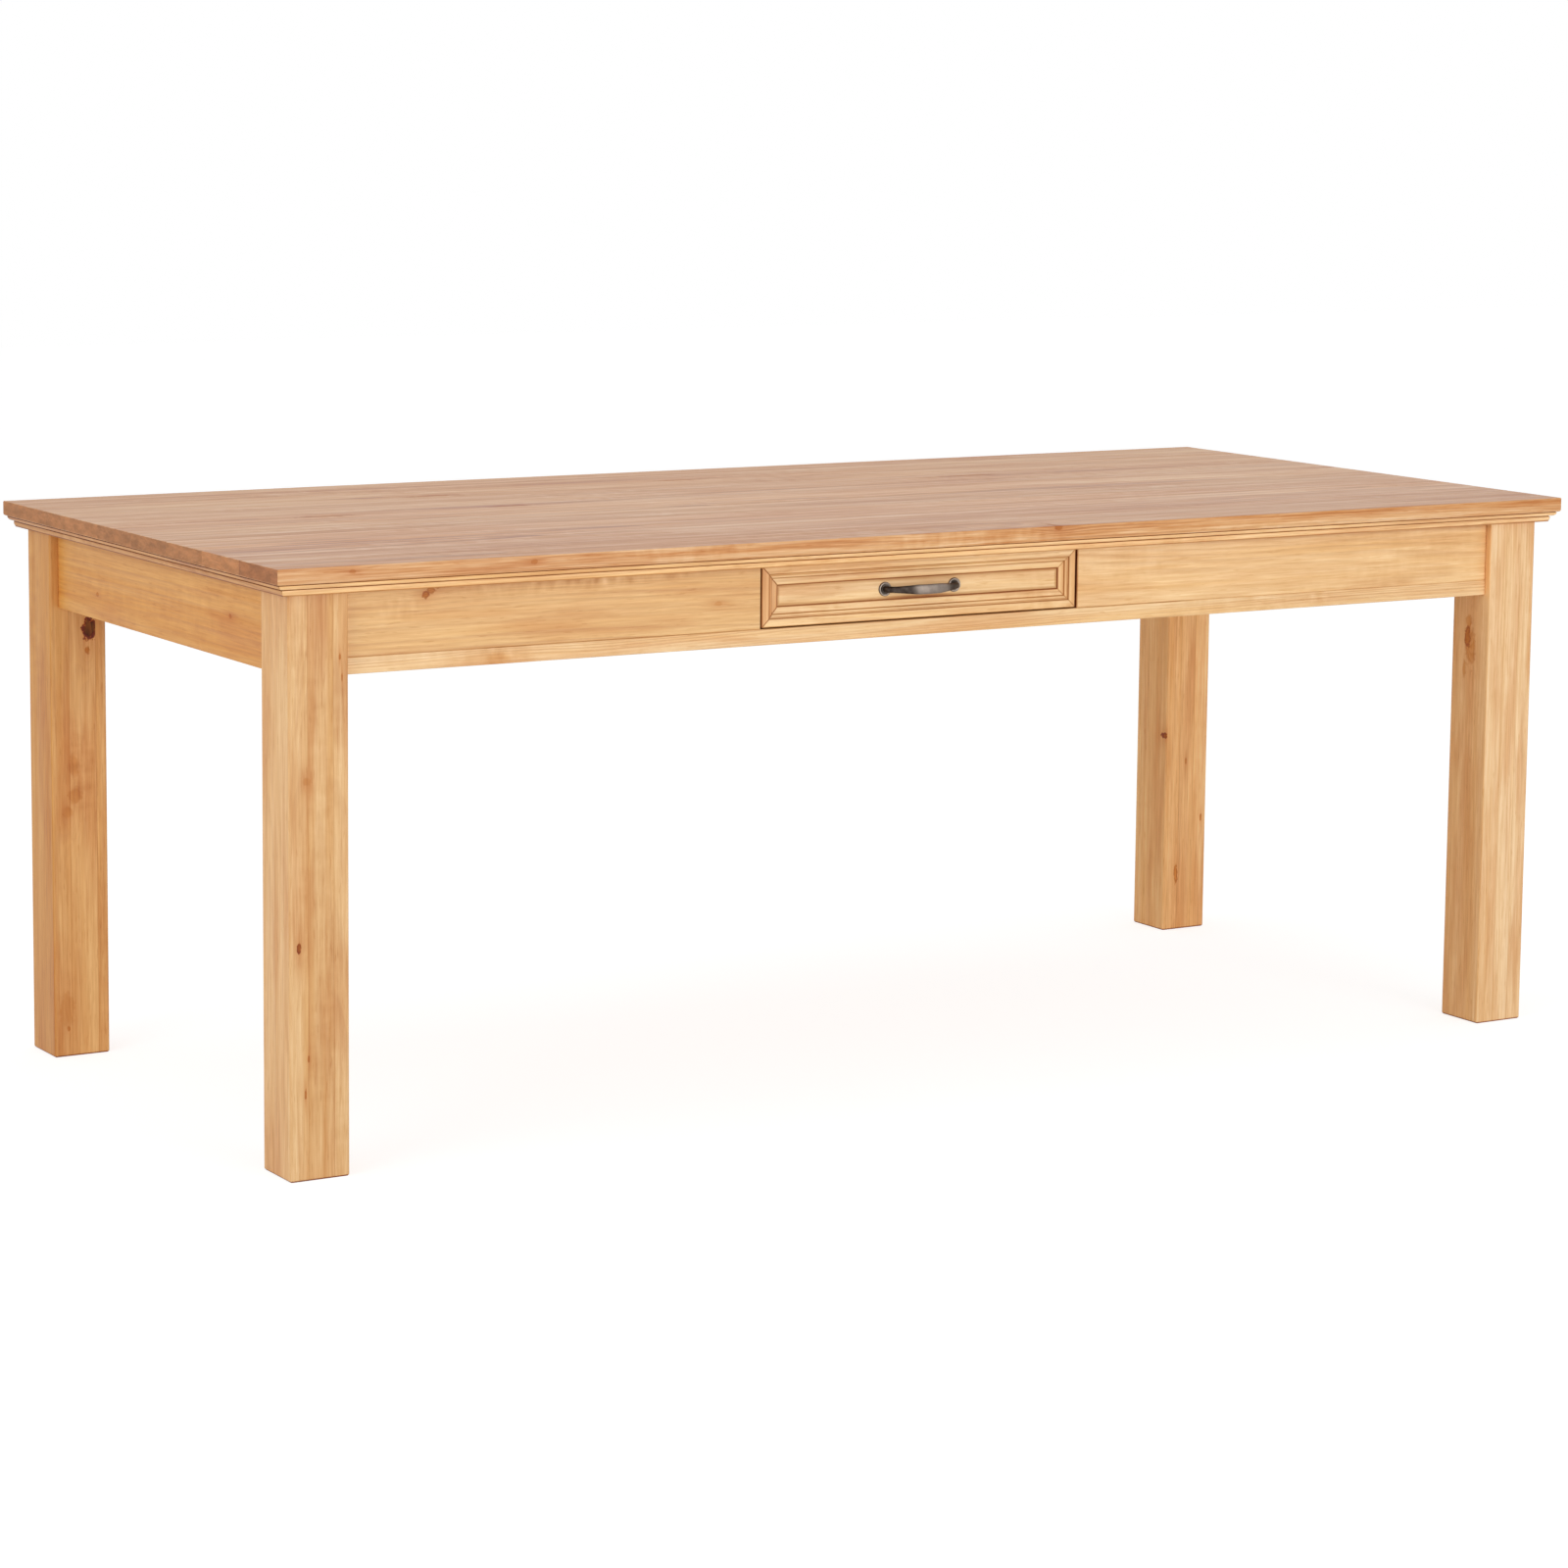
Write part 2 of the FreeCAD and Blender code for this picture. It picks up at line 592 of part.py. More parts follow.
def leg_fixings():
    """Make the hanger bolts, washers and nuts that hold the legs."""
    bolt = turned_pattern("bolt_pattern", (
        ("0", "0"), ("bolt_diameter / 2", "0"), ("bolt_diameter / 2", BOLT_LENGTH),
        ("0", BOLT_LENGTH),
    ))
    hole = BOLT_HOLE + " / 2"
    washer = turned_pattern("washer_pattern", (
        (hole, "0"), ("washer_diameter / 2", "0"),
        ("washer_diameter / 2", "washer_thickness"), (hole, "washer_thickness"),
    ))
    nut = new_body("nut_pattern", keep=False)
    hexagon = new_sketch(nut, "hexagon", "XY_Plane")
    half = "nut_flats / 2"
    corner = "nut_flats / sqrt(3)"
    outline(hexagon, (
        (corner, "0"), (corner + " / 2", half), ("-" + corner + " / 2", half),
        ("-" + corner, "0"), ("-" + corner + " / 2", "-" + half), (corner + " / 2", "-" + half),
    ))
    pad(nut, hexagon, "nut_height")
    bore(nut, "0", "0", "0", UP, BOLT_HOLE, "nut_height")

    block_face = "(%s / 2)" % BLOCK_FAR
    stack = (
        ("hanger_bolts", bolt, BOLT_START),
        ("bolt_washers", washer, block_face),
        ("bolt_nuts", nut, block_face + " + washer_thickness / sqrt(2)"),
    )
    for label, pattern, inwards in stack:
        places = []
        for _, x_side, y_side, _ in LEGS:
            x = "%d * (%s - (%s))" % (x_side, LEG_FACE_X, inwards)
            y = "%d * (%s - (%s))" % (y_side, LEG_FACE_Y, inwards)
            places.append((x, y, BLOCK_MIDDLE_Z, Rotation(UP, Vector(-x_side, -y_side, 0))))
        copies(label, pattern, places)


def top_supports():
    """Make the battens under the top and the steel angles that hold it to the aprons."""
    for name, side in SIDES:
        inset = "(%s - leg_size - batten_inset)" % LEG_FACE_X
        x = "%d * %s - batten_width / 2" % (side, inset)
        y = "-" + APRON_INSIDE_Y
        z = TOP_UNDERSIDE + " - batten_thickness"
        length = "2 * " + APRON_INSIDE_Y
        board("top_batten_" + name, "batten_width", length, "batten_thickness", x, y, z, run="Y")

    angle = new_body("bracket_pattern", keep=False)
    section = new_sketch(angle, "section", "YZ_Plane")
    outline(section, (
        ("0", "0"), ("0", "-bracket_arm"), ("bracket_gauge", "-bracket_arm"),
        ("bracket_gauge", "-bracket_gauge"), ("bracket_arm", "-bracket_gauge"),
        ("bracket_arm", "0"),
    ))
    pad(angle, section, "bracket_width", midplane=True)
    along = "(abs(drawer_centre) + drawer_opening / 2 + upper_rail_lap + bracket_along)"
    places = []
    for side in (-1, 1):
        places.append(("%d * %s" % (side, along), "-" + APRON_INSIDE_Y, TOP_UNDERSIDE, turned(0)))
        places.append(("%d * %s" % (side, along), APRON_INSIDE_Y, TOP_UNDERSIDE, turned(180)))
        across = "%d * bracket_across" % side
        places.append(("-" + APRON_INSIDE_X, across, TOP_UNDERSIDE, turned(270)))
        places.append((APRON_INSIDE_X, across, TOP_UNDERSIDE, turned(90)))
    copies("top_brackets", angle, places)


def drawer_supports():
    """Make the runners, kickers and stops that carry and guide the drawer."""
    front = "-" + RAIL_INSIDE_Y
    for name, side in SIDES:
        runner = new_body("drawer_runner_" + name, "drawer_centre", front, DRAWER_BOTTOM)
        section = new_sketch(runner, "section", "XZ_Plane")
        corners = (
            (RUNNER_INSIDE, "-runner_ledge"), (RUNNER_OUTSIDE, "-runner_ledge"),
            (RUNNER_OUTSIDE, "runner_guide_height"), (GUIDE_INSIDE, "runner_guide_height"),
            (GUIDE_INSIDE, "0"), (RUNNER_INSIDE, "0"),
        )
        outline(section, [("%d * %s" % (side, x), z) for x, z in corners])
        pad(runner, section, RUNNER_LENGTH, reverse=True)
        for plane_y, from_behind in (("0", False), (RUNNER_LENGTH, True)):
            tenon = new_sketch(runner, "tenon", "XZ_Plane", "-(%s)" % plane_y)
            near, low, far, high = tenon_outline(side)
            drop = " - (%s - %s)" % (DRAWER_BOTTOM, APRON_BOTTOM)
            rectangle(tenon, near, low + drop, far, high + drop)
            pad(runner, tenon, "runner_tenon", reverse=from_behind)

        width = "(%s - %s)" % (RUNNER_OUTSIDE, RUNNER_INSIDE)
        left = RUNNER_INSIDE if side > 0 else "-" + RUNNER_OUTSIDE
        height = "%s - %s" % (TOP_UNDERSIDE, KICKER_BOTTOM)
        board(
            "drawer_kicker_" + name, width, RUNNER_LENGTH, height,
            "drawer_centre + " + left, front, KICKER_BOTTOM, run="Y",
        )

    stop = new_body("stop_pattern", keep=False)
    plan = new_sketch(stop, "plan", "XY_Plane")
    rectangle(plan, "-runner_reach / 2", "0", "runner_reach / 2", "stop_length")
    pad(stop, plan, "stop_height")
    places = []
    for _, side in SIDES:
        x = "drawer_centre + %d * (%s - runner_reach / 2)" % (side, DRAWER_SIDE_X)
        places.append((x, DRAWER_BACK_Y + " + stop_gap", DRAWER_BOTTOM, turned(0)))
    copies("drawer_stops", stop, places)


def drawer_front():
    """Make the drawer front: a mitred moulded frame round a recessed panel."""
    groove = "(frame_width - panel_tongue)"
    groove_back = "(panel_recess + panel_thickness + joint_fit)"
    profile = (
        ("0", "-frame_ease"), ("frame_ease", "0"),
        ("band_width", "0"),
        ("band_width", "-band_step", "-cove_curve"),
        ("cove_end", "-cove_depth"),
        ("cove_end", "-cove_depth - frame_quirk"),
        ("cove_end + frame_quirk", "-cove_depth - frame_quirk", "-ovolo_curve"),
        ("frame_width", "-lip_depth"),
        ("frame_width", "-panel_recess"), (groove, "-panel_recess"),
        (groove, "-" + groove_back), ("frame_width", "-" + groove_back),
        ("frame_width", "-drawer_front_thickness"), ("0", "-drawer_front_thickness"),
    )
    profile = profile[::-1]
    profile = shift_arcs(profile)
    face_y = "-" + APRON_FACE_Y
    upright = Rotation(Vector(1, 0, 0), 90)
    half = DRAWER_WIDTH + " / 2"
    strips = (
        ("drawer_front_bottom_rail", DRAWER_WIDTH, "drawer_centre", DRAWER_BOTTOM, 0),
        ("drawer_front_right_stile", DRAWER_HEIGHT, "drawer_centre + " + half, DRAWER_MIDDLE, 90),
        ("drawer_front_top_rail", DRAWER_WIDTH, "drawer_centre", DRAWER_TOP, 180),
        ("drawer_front_left_stile", DRAWER_HEIGHT, "drawer_centre - " + half, DRAWER_MIDDLE, 270),
    )
    for label, length, x, z, turn in strips:
        rotation = upright.multiply(turned(turn))
        body = mitred_strip(label, profile, length, "frame_width", x, face_y, z, rotation)
        if "bottom" in label:
            slot = new_sketch(body, "bottom_groove", "YZ_Plane")
            low = "-drawer_front_thickness + bottom_tongue"
            rectangle(slot, "bottom_rise", "-drawer_front_thickness", BOTTOM_GROOVE_TOP, low)
            pocket(body, slot, "2 * (%s + bottom_tongue)" % SIDE_INSIDE_X, midplane=True)
        if "stile" in label:
            slot = new_sketch(body, "side_slot", "XY_Plane", "-drawer_front_thickness")
            tall = "(side_tenon_height / 2 + joint_fit)"
            wide = "(side_tenon_thickness / 2 + joint_fit)"
            across = "(%s / 2 - %s)" % (DRAWER_WIDTH, SIDE_MIDDLE_X)
            rectangle(slot, "-" + tall, across + " - " + wide, tall, across + " + " + wide)
            pocket(body, slot, "side_tenon + joint_relief", reverse=True)

    inset = "(frame_width - panel_tongue + joint_fit)"
    panel = new_body("drawer_front_panel", "drawer_centre", PANEL_FACE_Y, DRAWER_MIDDLE)
    face = new_sketch(panel, "face", "XZ_Plane")
    wide = "(%s / 2 - %s)" % (DRAWER_WIDTH, inset)
    tall = "(%s / 2 - %s)" % (DRAWER_HEIGHT, inset)
    rectangle(face, "-" + wide, "-" + tall, wide, tall)
    pad(panel, face, "panel_thickness", reverse=True)
    holes = new_sketch(panel, "screw_holes", "XZ_Plane")
    for _, side in SIDES:
        circle(holes, "%d * handle_spacing / 2" % side, "0", HANDLE_HOLE)
    pocket(panel, holes)


def shift_arcs(profile):
    """Move each arc mark to the corner where its arc starts once a profile is drawn backwards."""
    plain = [corner[:2] for corner in profile]
    marks = [corner[2] if len(corner) == 3 else None for corner in profile]
    shifted = []
    for index, corner in enumerate(plain):
        mark = marks[(index + 1) % len(plain)]
        if mark is None:
            shifted.append(corner)
        else:
            backwards = mark[1:] if mark.startswith("-") else "-" + mark
            shifted.append(corner + (backwards,))
    return tuple(shifted)


def drawer_box():
    """Make the drawer's sides, back and bottom."""
    middle = "(%s - %s)" % (DRAWER_MIDDLE, DRAWER_BOTTOM)
    back_end = "(drawer_depth - drawer_back_inset)"
    back_start = "(%s - drawer_side_thickness)" % back_end
    for name, side in SIDES:
        x = "drawer_centre + %d * %s" % (side, SIDE_INSIDE_X)
        body = new_body("drawer_side_" + name, x, DRAWER_BOX_FRONT_Y, DRAWER_BOTTOM)
        section = new_sketch(body, "section", "XZ_Plane")
        corners = (
            ("0", "0"), ("drawer_side_thickness", "0"),
            ("drawer_side_thickness", SIDE_HEIGHT), ("0", SIDE_HEIGHT),
            ("0", BOTTOM_GROOVE_TOP), ("bottom_tongue", BOTTOM_GROOVE_TOP),
            ("bottom_tongue", "bottom_rise"), ("0", "bottom_rise"),
        )
        outline(section, [("%d * %s" % (side, across), up) for across, up in corners])
        pad(body, section, "drawer_depth", reverse=True)
        tenon = new_sketch(body, "tenon", "XZ_Plane")
        near = "%d * (drawer_side_thickness - side_tenon_thickness) / 2" % side
        far = "%d * (drawer_side_thickness + side_tenon_thickness) / 2" % side
        low = middle + " - side_tenon_height / 2"
        high = middle + " + side_tenon_height / 2"
        rectangle(tenon, near, low, far, high)
        pad(body, tenon, "side_tenon")
        housing = new_sketch(body, "back_housing", "XY_Plane", SIDE_HEIGHT)
        start = back_start + " - joint_fit"
        end = back_end + " + joint_fit"
        outer = "%d * (drawer_back_housing + joint_fit)" % side
        inner = "%d" % (-side * CUT_MARGIN)
        rectangle(housing, outer, start, inner, end)
        pocket(body, housing, "%s - %s" % (SIDE_HEIGHT, BOTTOM_GROOVE_TOP))

    base = "(bottom_rise + bottom_thickness)"
    half = "(%s + drawer_back_housing)" % SIDE_INSIDE_X
    board(
        "drawer_back", "2 * " + half, "drawer_side_thickness",
        "%s - %s - drawer_back_drop" % (SIDE_HEIGHT, base),
        "drawer_centre - " + half, "%s + %s" % (DRAWER_BOX_FRONT_Y, back_start),
        "%s + %s" % (DRAWER_BOTTOM, base),
    )
    reach = "(bottom_tongue - joint_fit)"
    half = "(%s + %s)" % (SIDE_INSIDE_X, reach)
    board(
        "drawer_bottom", "2 * " + half, "%s + %s" % (back_end, reach), "bottom_thickness",
        "drawer_centre - " + half, "%s - %s" % (DRAWER_BOX_FRONT_Y, reach),
        DRAWER_BOTTOM + " + bottom_rise",
    )


def bow_handle():
    """Make the bow: an arched band, wider at its grip, that ends in two round posts."""
    body = new_body("bow_handle", "drawer_centre", PANEL_FACE_Y, DRAWER_MIDDLE)
    plan = new_sketch(body, "arch", "XY_Plane")
    outer = "(%s + bow_thickness / 2)" % BOW_RADIUS
    inner = "(%s - bow_thickness / 2)" % BOW_RADIUS
    centre = "(%s - bow_rise - %s)" % (BOW_RADIUS, POST_TOP)
    across = "handle_spacing / 2 / " + BOW_RADIUS
    along = "(%s - bow_rise) / %s" % (BOW_RADIUS, BOW_RADIUS)
    outer_end = (outer + " * " + across, centre + " - " + outer + " * " + along)
    inner_end = (inner + " * " + across, centre + " - " + inner + " * " + along)
    outline(plan, (
        ("-" + outer_end[0], outer_end[1], outer),
        outer_end,
        (inner_end[0], inner_end[1], "-" + inner),
        ("-" + inner_end[0], inner_end[1]),
    ))
    pad(body, plan, "grip_height", midplane=True)
    half = "(handle_spacing / 2 + knuckle_diameter)"
    drop = "(grip_height - bow_end_height) / 2"
    sweep = "((%s * %s + (%s) * (%s)) / (2 * (%s)))" % (half, half, drop, drop, drop)
    for side in (-1, 1):
        taper = new_sketch(body, "taper", "XZ_Plane")
        low = "%d * bow_end_height / 2" % side
        high = "%d * grip_height" % side
        outline(taper, (
            ("-" + half, low, "%d * %s" % (-side, sweep)), (half, low), (half, high), ("-" + half, high),
        ))
        pocket(body, taper, reverse=True)
    soften(body, "Chamfer", "bow_ease", lambda box: box.XLength > number("handle_spacing / 2"))
    for _, side in SIDES:
        x = "%d * handle_spacing / 2" % side
        post = body.newObject("PartDesign::AdditiveCylinder", "post")
        place(post, x, "-rosette_thickness", "0", Rotation(UP, Vector(0, -1, 0)))
        bind(post, "Radius", "post_diameter / 2")
        bind(post, "Height", "post_length")
        doc.recompute()
        knuckle = body.newObject("PartDesign::AdditiveCylinder", "knuckle")
        place(knuckle, x, "-" + POST_TOP, "-bow_end_height / 2")
        bind(knuckle, "Radius", "knuckle_diameter / 2")
        bind(knuckle, "Height", "bow_end_height")
        doc.recompute()
        outwards = Vector(0, -1, 0)
        bore(body, x, "-rosette_thickness", "0", outwards, HANDLE_HOLE, SCREW_HOLE_DEPTH)

    hole = HANDLE_HOLE + " / 2"
    rim = "rosette_diameter / 2"
    rosette = turned_pattern("rosette_pattern", (
        (hole, "0"), (rim, "0"), (rim, "rosette_thickness"),
        (rim + " - rosette_rim", "rosette_thickness"),
        ("post_diameter / 2", "rosette_thickness - rosette_dish"),
        ("post_diameter / 2", "rosette_thickness"), (hole, "rosette_thickness"),
    ))
    shank = "handle_screw_diameter / 2"
    head_top = "-panel_thickness - handle_screw_head_height"
    tip = "rosette_thickness + handle_screw_bite"
    screw = turned_pattern("handle_screw_pattern", (
        ("0", head_top), ("handle_screw_head / 2", head_top),
        ("handle_screw_head / 2", "-panel_thickness"), (shank, "-panel_thickness"),
        (shank, tip), ("0", tip),
    ))
    forwards = Rotation(UP, Vector(0, -1, 0))
    places = []
    for _, side in SIDES:
        x = "drawer_centre + %d * handle_spacing / 2" % side
        places.append((x, PANEL_FACE_Y, DRAWER_MIDDLE, forwards))
    copies("handle_rosettes", rosette, places)
    copies("handle_screws", screw, places)


def check_model():
    """Stop on any failed object or unsound shape."""
    doc.recompute()
    for item in doc.Objects:
        if "Invalid" in item.State or "Error" in item.State:
            raise RuntimeError("%s failed: %s" % (item.Name, item.State))
    for piece in pieces:
        if piece.Shape.isNull() or not piece.Shape.isValid():
            raise RuntimeError(piece.Label + " has no sound shape")


def write_parts():
    """Write each piece to its own file."""
    os.makedirs("parts", exist_ok=True)
    for piece in pieces:
        piece.Shape.exportStep("parts/%s.step" % piece.Label)
        solids = len(piece.Shape.Solids)
        print("%-28s %2d solid(s) %12.1f mm3" % (piece.Label, solids, piece.Shape.Volume))


fill_sheet()
top_boards()
edge_mouldings()
legs()
aprons()
corner_blocks()
leg_fixings()
top_supports()
drawer_supports()
drawer_front()
drawer_box()
bow_handle()
check_model()
write_parts()
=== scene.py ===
import math

import bpy
from mathutils import Matrix, Vector


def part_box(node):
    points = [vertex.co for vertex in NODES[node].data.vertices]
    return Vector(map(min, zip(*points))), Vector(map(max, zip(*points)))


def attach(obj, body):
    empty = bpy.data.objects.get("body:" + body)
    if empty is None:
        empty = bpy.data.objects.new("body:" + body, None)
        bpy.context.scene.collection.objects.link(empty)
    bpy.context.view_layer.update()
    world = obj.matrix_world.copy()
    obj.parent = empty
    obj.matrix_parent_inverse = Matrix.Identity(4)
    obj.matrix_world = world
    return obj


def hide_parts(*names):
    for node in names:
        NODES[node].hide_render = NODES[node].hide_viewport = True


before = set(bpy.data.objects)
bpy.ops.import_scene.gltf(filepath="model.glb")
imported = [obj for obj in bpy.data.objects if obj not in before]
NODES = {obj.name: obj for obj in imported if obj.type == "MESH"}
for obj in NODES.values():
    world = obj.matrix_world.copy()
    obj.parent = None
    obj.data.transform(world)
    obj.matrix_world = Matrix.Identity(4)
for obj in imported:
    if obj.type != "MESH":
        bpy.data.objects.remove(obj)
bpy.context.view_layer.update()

# ---------------------------------------------------------------- the photograph's view
IMAGE_SIDE = 1600
FOCAL_PIXELS = 4461.67
CENTRE_ROW = 640
SENSOR = 36.0
CAMERA_PLACE = Vector((-3.15714, -5.19936, 1.37343))
YAW = 0.5426
PITCH = 0.1298
ROLL = 0.0101


def add_camera():
    """The camera that the table's corners in the photograph fit."""
    forward = Vector((math.sin(YAW) * math.cos(PITCH), math.cos(YAW) * math.cos(PITCH), -math.sin(PITCH)))
    level = Vector((math.cos(YAW), -math.sin(YAW), 0))
    up = level.cross(forward)
    right = level * math.cos(ROLL) + up * math.sin(ROLL)
    up = up * math.cos(ROLL) - level * math.sin(ROLL)
    data = bpy.data.cameras.new("photo_camera")
    data.sensor_fit = "HORIZONTAL"
    data.sensor_width = SENSOR
    data.lens = FOCAL_PIXELS / IMAGE_SIDE * SENSOR
    data.shift_y = (CENTRE_ROW - IMAGE_SIDE / 2) / IMAGE_SIDE
    data.clip_start = 0.05
    data.clip_end = 100
    camera = bpy.data.objects.new("photo_camera", data)
    bpy.context.scene.collection.objects.link(camera)
    turn = Matrix((right, up, -forward)).transposed().to_4x4()
    camera.matrix_world = Matrix.Translation(CAMERA_PLACE) @ turn
    bpy.context.scene.camera = camera


# ---------------------------------------------------------------- node trees in short
class Graph:
    """A node tree, and short ways to add the nodes that the materials use."""

    def __init__(self, tree):
        self.tree = tree

    def node(self, kind, **settings):
        made = self.tree.nodes.new(kind)
        for name, value in settings.items():
            setattr(made, name, value)
        return made

    def feed(self, socket, value):
        if isinstance(value, bpy.types.NodeSocket):
            self.tree.links.new(value, socket)
        elif value is not None:
            socket.default_value = value

    def math(self, operation, a, b=None, c=None, clamp=False):
        made = self.node("ShaderNodeMath", operation=operation, use_clamp=clamp)
        for socket, value in zip(made.inputs, (a, b, c)):
            self.feed(socket, value)
        return made.outputs[0]

    def times(self, a, b, clamp=False):
        return self.math("MULTIPLY", a, b, clamp=clamp)

    def times_plus(self, a, b, c, clamp=False):
        """a times b, plus c."""
        return self.math("MULTIPLY_ADD", a, b, c, clamp)

    def minus(self, a, b):
        return self.math("SUBTRACT", a, b)

    def vector(self, operation, a, b=None, scale=None):
        made = self.node("ShaderNodeVectorMath", operation=operation)
        self.feed(made.inputs[0], a)
        self.feed(made.inputs[1], b)
        self.feed(made.inputs[3], scale)
        return made.outputs[1 if operation in ("LENGTH", "DOT_PRODUCT") else 0]

    def split(self, vector):
        made = self.node("ShaderNodeSeparateXYZ")
        self.feed(made.inputs[0], vector)
        return made.outputs

    def join(self, x, y, z):
        made = self.node("ShaderNodeCombineXYZ")
        for socket, value in zip(made.inputs, (x, y, z)):
            self.feed(socket, value)
        return made.outputs[0]

    def noise(self, vector, detail=2.0, roughness=0.5, colour=False):
        made = self.node("ShaderNodeTexNoise", noise_dimensions="3D")
        self.feed(made.inputs["Vector"], vector)
        made.inputs["Scale"].default_value = 1.0
        made.inputs["Detail"].default_value = detail
        made.inputs["Roughness"].default_value = roughness
        return made.outputs[1 if colour else 0]

    def step(self, value, low, high, start=0.0, end=1.0):
        """start below low, end above high, and a smooth change between them."""
        made = self.node("ShaderNodeMapRange", interpolation_type="SMOOTHSTEP", clamp=True)
        numbers = {"Value": value, "From Min": low, "From Max": high, "To Min": start, "To Max": end}
        for name, number in numbers.items():
            self.feed(made.inputs[name], number)
        return made.outputs[0]

    def mix(self, factor, a, b, blend="MIX"):
        made = self.node("ShaderNodeMix", data_type="RGBA", blend_type=blend, clamp_factor=True)
        self.feed(made.inputs[0], factor)
        self.feed(made.inputs[6], a)
        self.feed(made.inputs[7], b)
        return made.outputs[2]

    def glaze(self, colour, passed, coats):
        """The colour under coats of a glaze that lets passed of each primary through."""
        through = self.join(*(self.math("POWER", share, coats) for share in passed))
        return self.mix(1.0, colour, through, "MULTIPLY")

    def group(self, tree, **values):
        made = self.node("ShaderNodeGroup", node_tree=tree)
        for name, value in values.items():
            self.feed(made.inputs[name], value)
        return made.outputs


KINDS = {"float": "NodeSocketFloat", "vector": "NodeSocketVector", "colour": "NodeSocketColor"}


def sockets(kind, names):
    """Names of sockets of one kind, for new_group."""
    return [(name, KINDS[kind]) for name in names.split()]


def new_group(name, inputs, outputs):
    """An empty group with its sockets, and the graph, inputs and outputs to fill it with."""
    tree = bpy.data.node_groups.new(name, "ShaderNodeTree")
    for direction, wanted in (("INPUT", inputs), ("OUTPUT", outputs)):
        for socket, kind in wanted:
            tree.interface.new_socket(name=socket, in_out=direction, socket_type=kind)
    graph = Graph(tree)
    return graph, graph.node("NodeGroupInput").outputs, graph.node("NodeGroupOutput").inputs


def new_material(name):
    """A material with no nodes yet, and the graph to fill it with."""
    material = bpy.data.materials.new(name)
    material.use_nodes = True
    material.node_tree.nodes.clear()
    return material, Graph(material.node_tree)


def show(g, shader):
    """The shader is what the material shows."""
    g.feed(g.node("ShaderNodeOutputMaterial").inputs["Surface"], shader.outputs[0])


def linear(red, green, blue):
    """A colour written as 8-bit sRGB, as Blender's linear RGBA."""
    def one(value):
        value /= 255
        return value / 12.92 if value <= 0.04045 else ((value + 0.055) / 1.055) ** 2.4
    return (one(red), one(green), one(blue), 1.0)


# ---------------------------------------------------------------- pine
PALE = linear(242, 201, 146)
HONEY = linear(228, 176, 112)
ORANGE = linear(206, 136, 70)
LATEWOOD = linear(178, 108, 54)
KNOT_HEART = linear(104, 60, 22)
KNOT_RIM = linear(44, 28, 10)
KNOT_AMBER = (0.60, 0.31, 0.08)
KNOT_BARK = (0.25, 0.07, 0.015)
# a glaze of wax and painted shade, laid where other surfaces are near: corners, creases and between parts
WAX_AND_SHADE_GLAZE = (0.42, 0.15, 0.045)
# the colour of dark lines: real joints, and painted shade in grooves and gaps
JOINT_AND_SHADE_LINE = (0.32, 0.14, 0.045)
SAWN = linear(190, 132, 86)
EDGE_HIGHLIGHT_TINT = (1.16, 1.12, 1.02, 1.0)
WAX_AND_SHADE_REACH = 0.007
EDGE_RADIUS = 0.0012
GRAIN_DEPTH = 0.0002


def make_knot_group():
    """One knot: a branch through the board at Centre.

    Section scales the space round it to the knot's own shape, and Flow to that of the bent grain.
    """
    g, i, o = new_group(
        "knot",
        sockets("vector", "Place Centre Section Flow")
        + sockets("float", "Radius Push Dark Shift Core Rim Halo"),
        sockets("float", "Shift Core Rim Halo"),
    )
    away = g.vector("SUBTRACT", i["Place"], i["Centre"])
    rough = g.noise(g.vector("SCALE", i["Place"], scale=150.0), detail=2.0)
    uneven = g.times_plus(rough, 1.2, 0.4)
    core = g.times(g.vector("LENGTH", g.vector("MULTIPLY", away, i["Section"])), uneven)
    flow = g.vector("LENGTH", g.vector("MULTIPLY", away, i["Flow"]))
    near = g.math("DIVIDE", core, i["Radius"])
    far = g.math("DIVIDE", flow, i["Radius"])
    bump = g.math("EXPONENT", g.times(g.times(far, far), -0.16))
    push = g.times(g.times(bump, i["Radius"]), i["Push"])
    g.feed(o["Shift"], g.math("ADD", i["Shift"], push))
    inside = g.times(g.step(near, 0.6, 1.15, 1.0, 0.0), i["Dark"])
    g.feed(o["Core"], g.math("MAXIMUM", i["Core"], inside))
    patchy = g.step(g.noise(g.vector("SCALE", i["Place"], scale=210.0), detail=1.0), 0.28, 0.52)
    ring = g.times(g.step(near, 0.5, 0.9), g.step(near, 0.95, 1.25, 1.0, 0.0))
    ring = g.times(g.times(ring, patchy), g.math("POWER", i["Dark"], 2.0))
    g.feed(o["Rim"], g.math("MAXIMUM", i["Rim"], ring))
    glow = g.math("EXPONENT", g.times(g.times(far, far), -0.3))
    g.feed(o["Halo"], g.math("MAXIMUM", i["Halo"], glow))
    return g.tree


def stretched(g, place, along, across, **settings):
    """Noise that is drawn out along the grain."""
    return g.noise(g.vector("MULTIPLY", place, (along, across, across)), **settings)


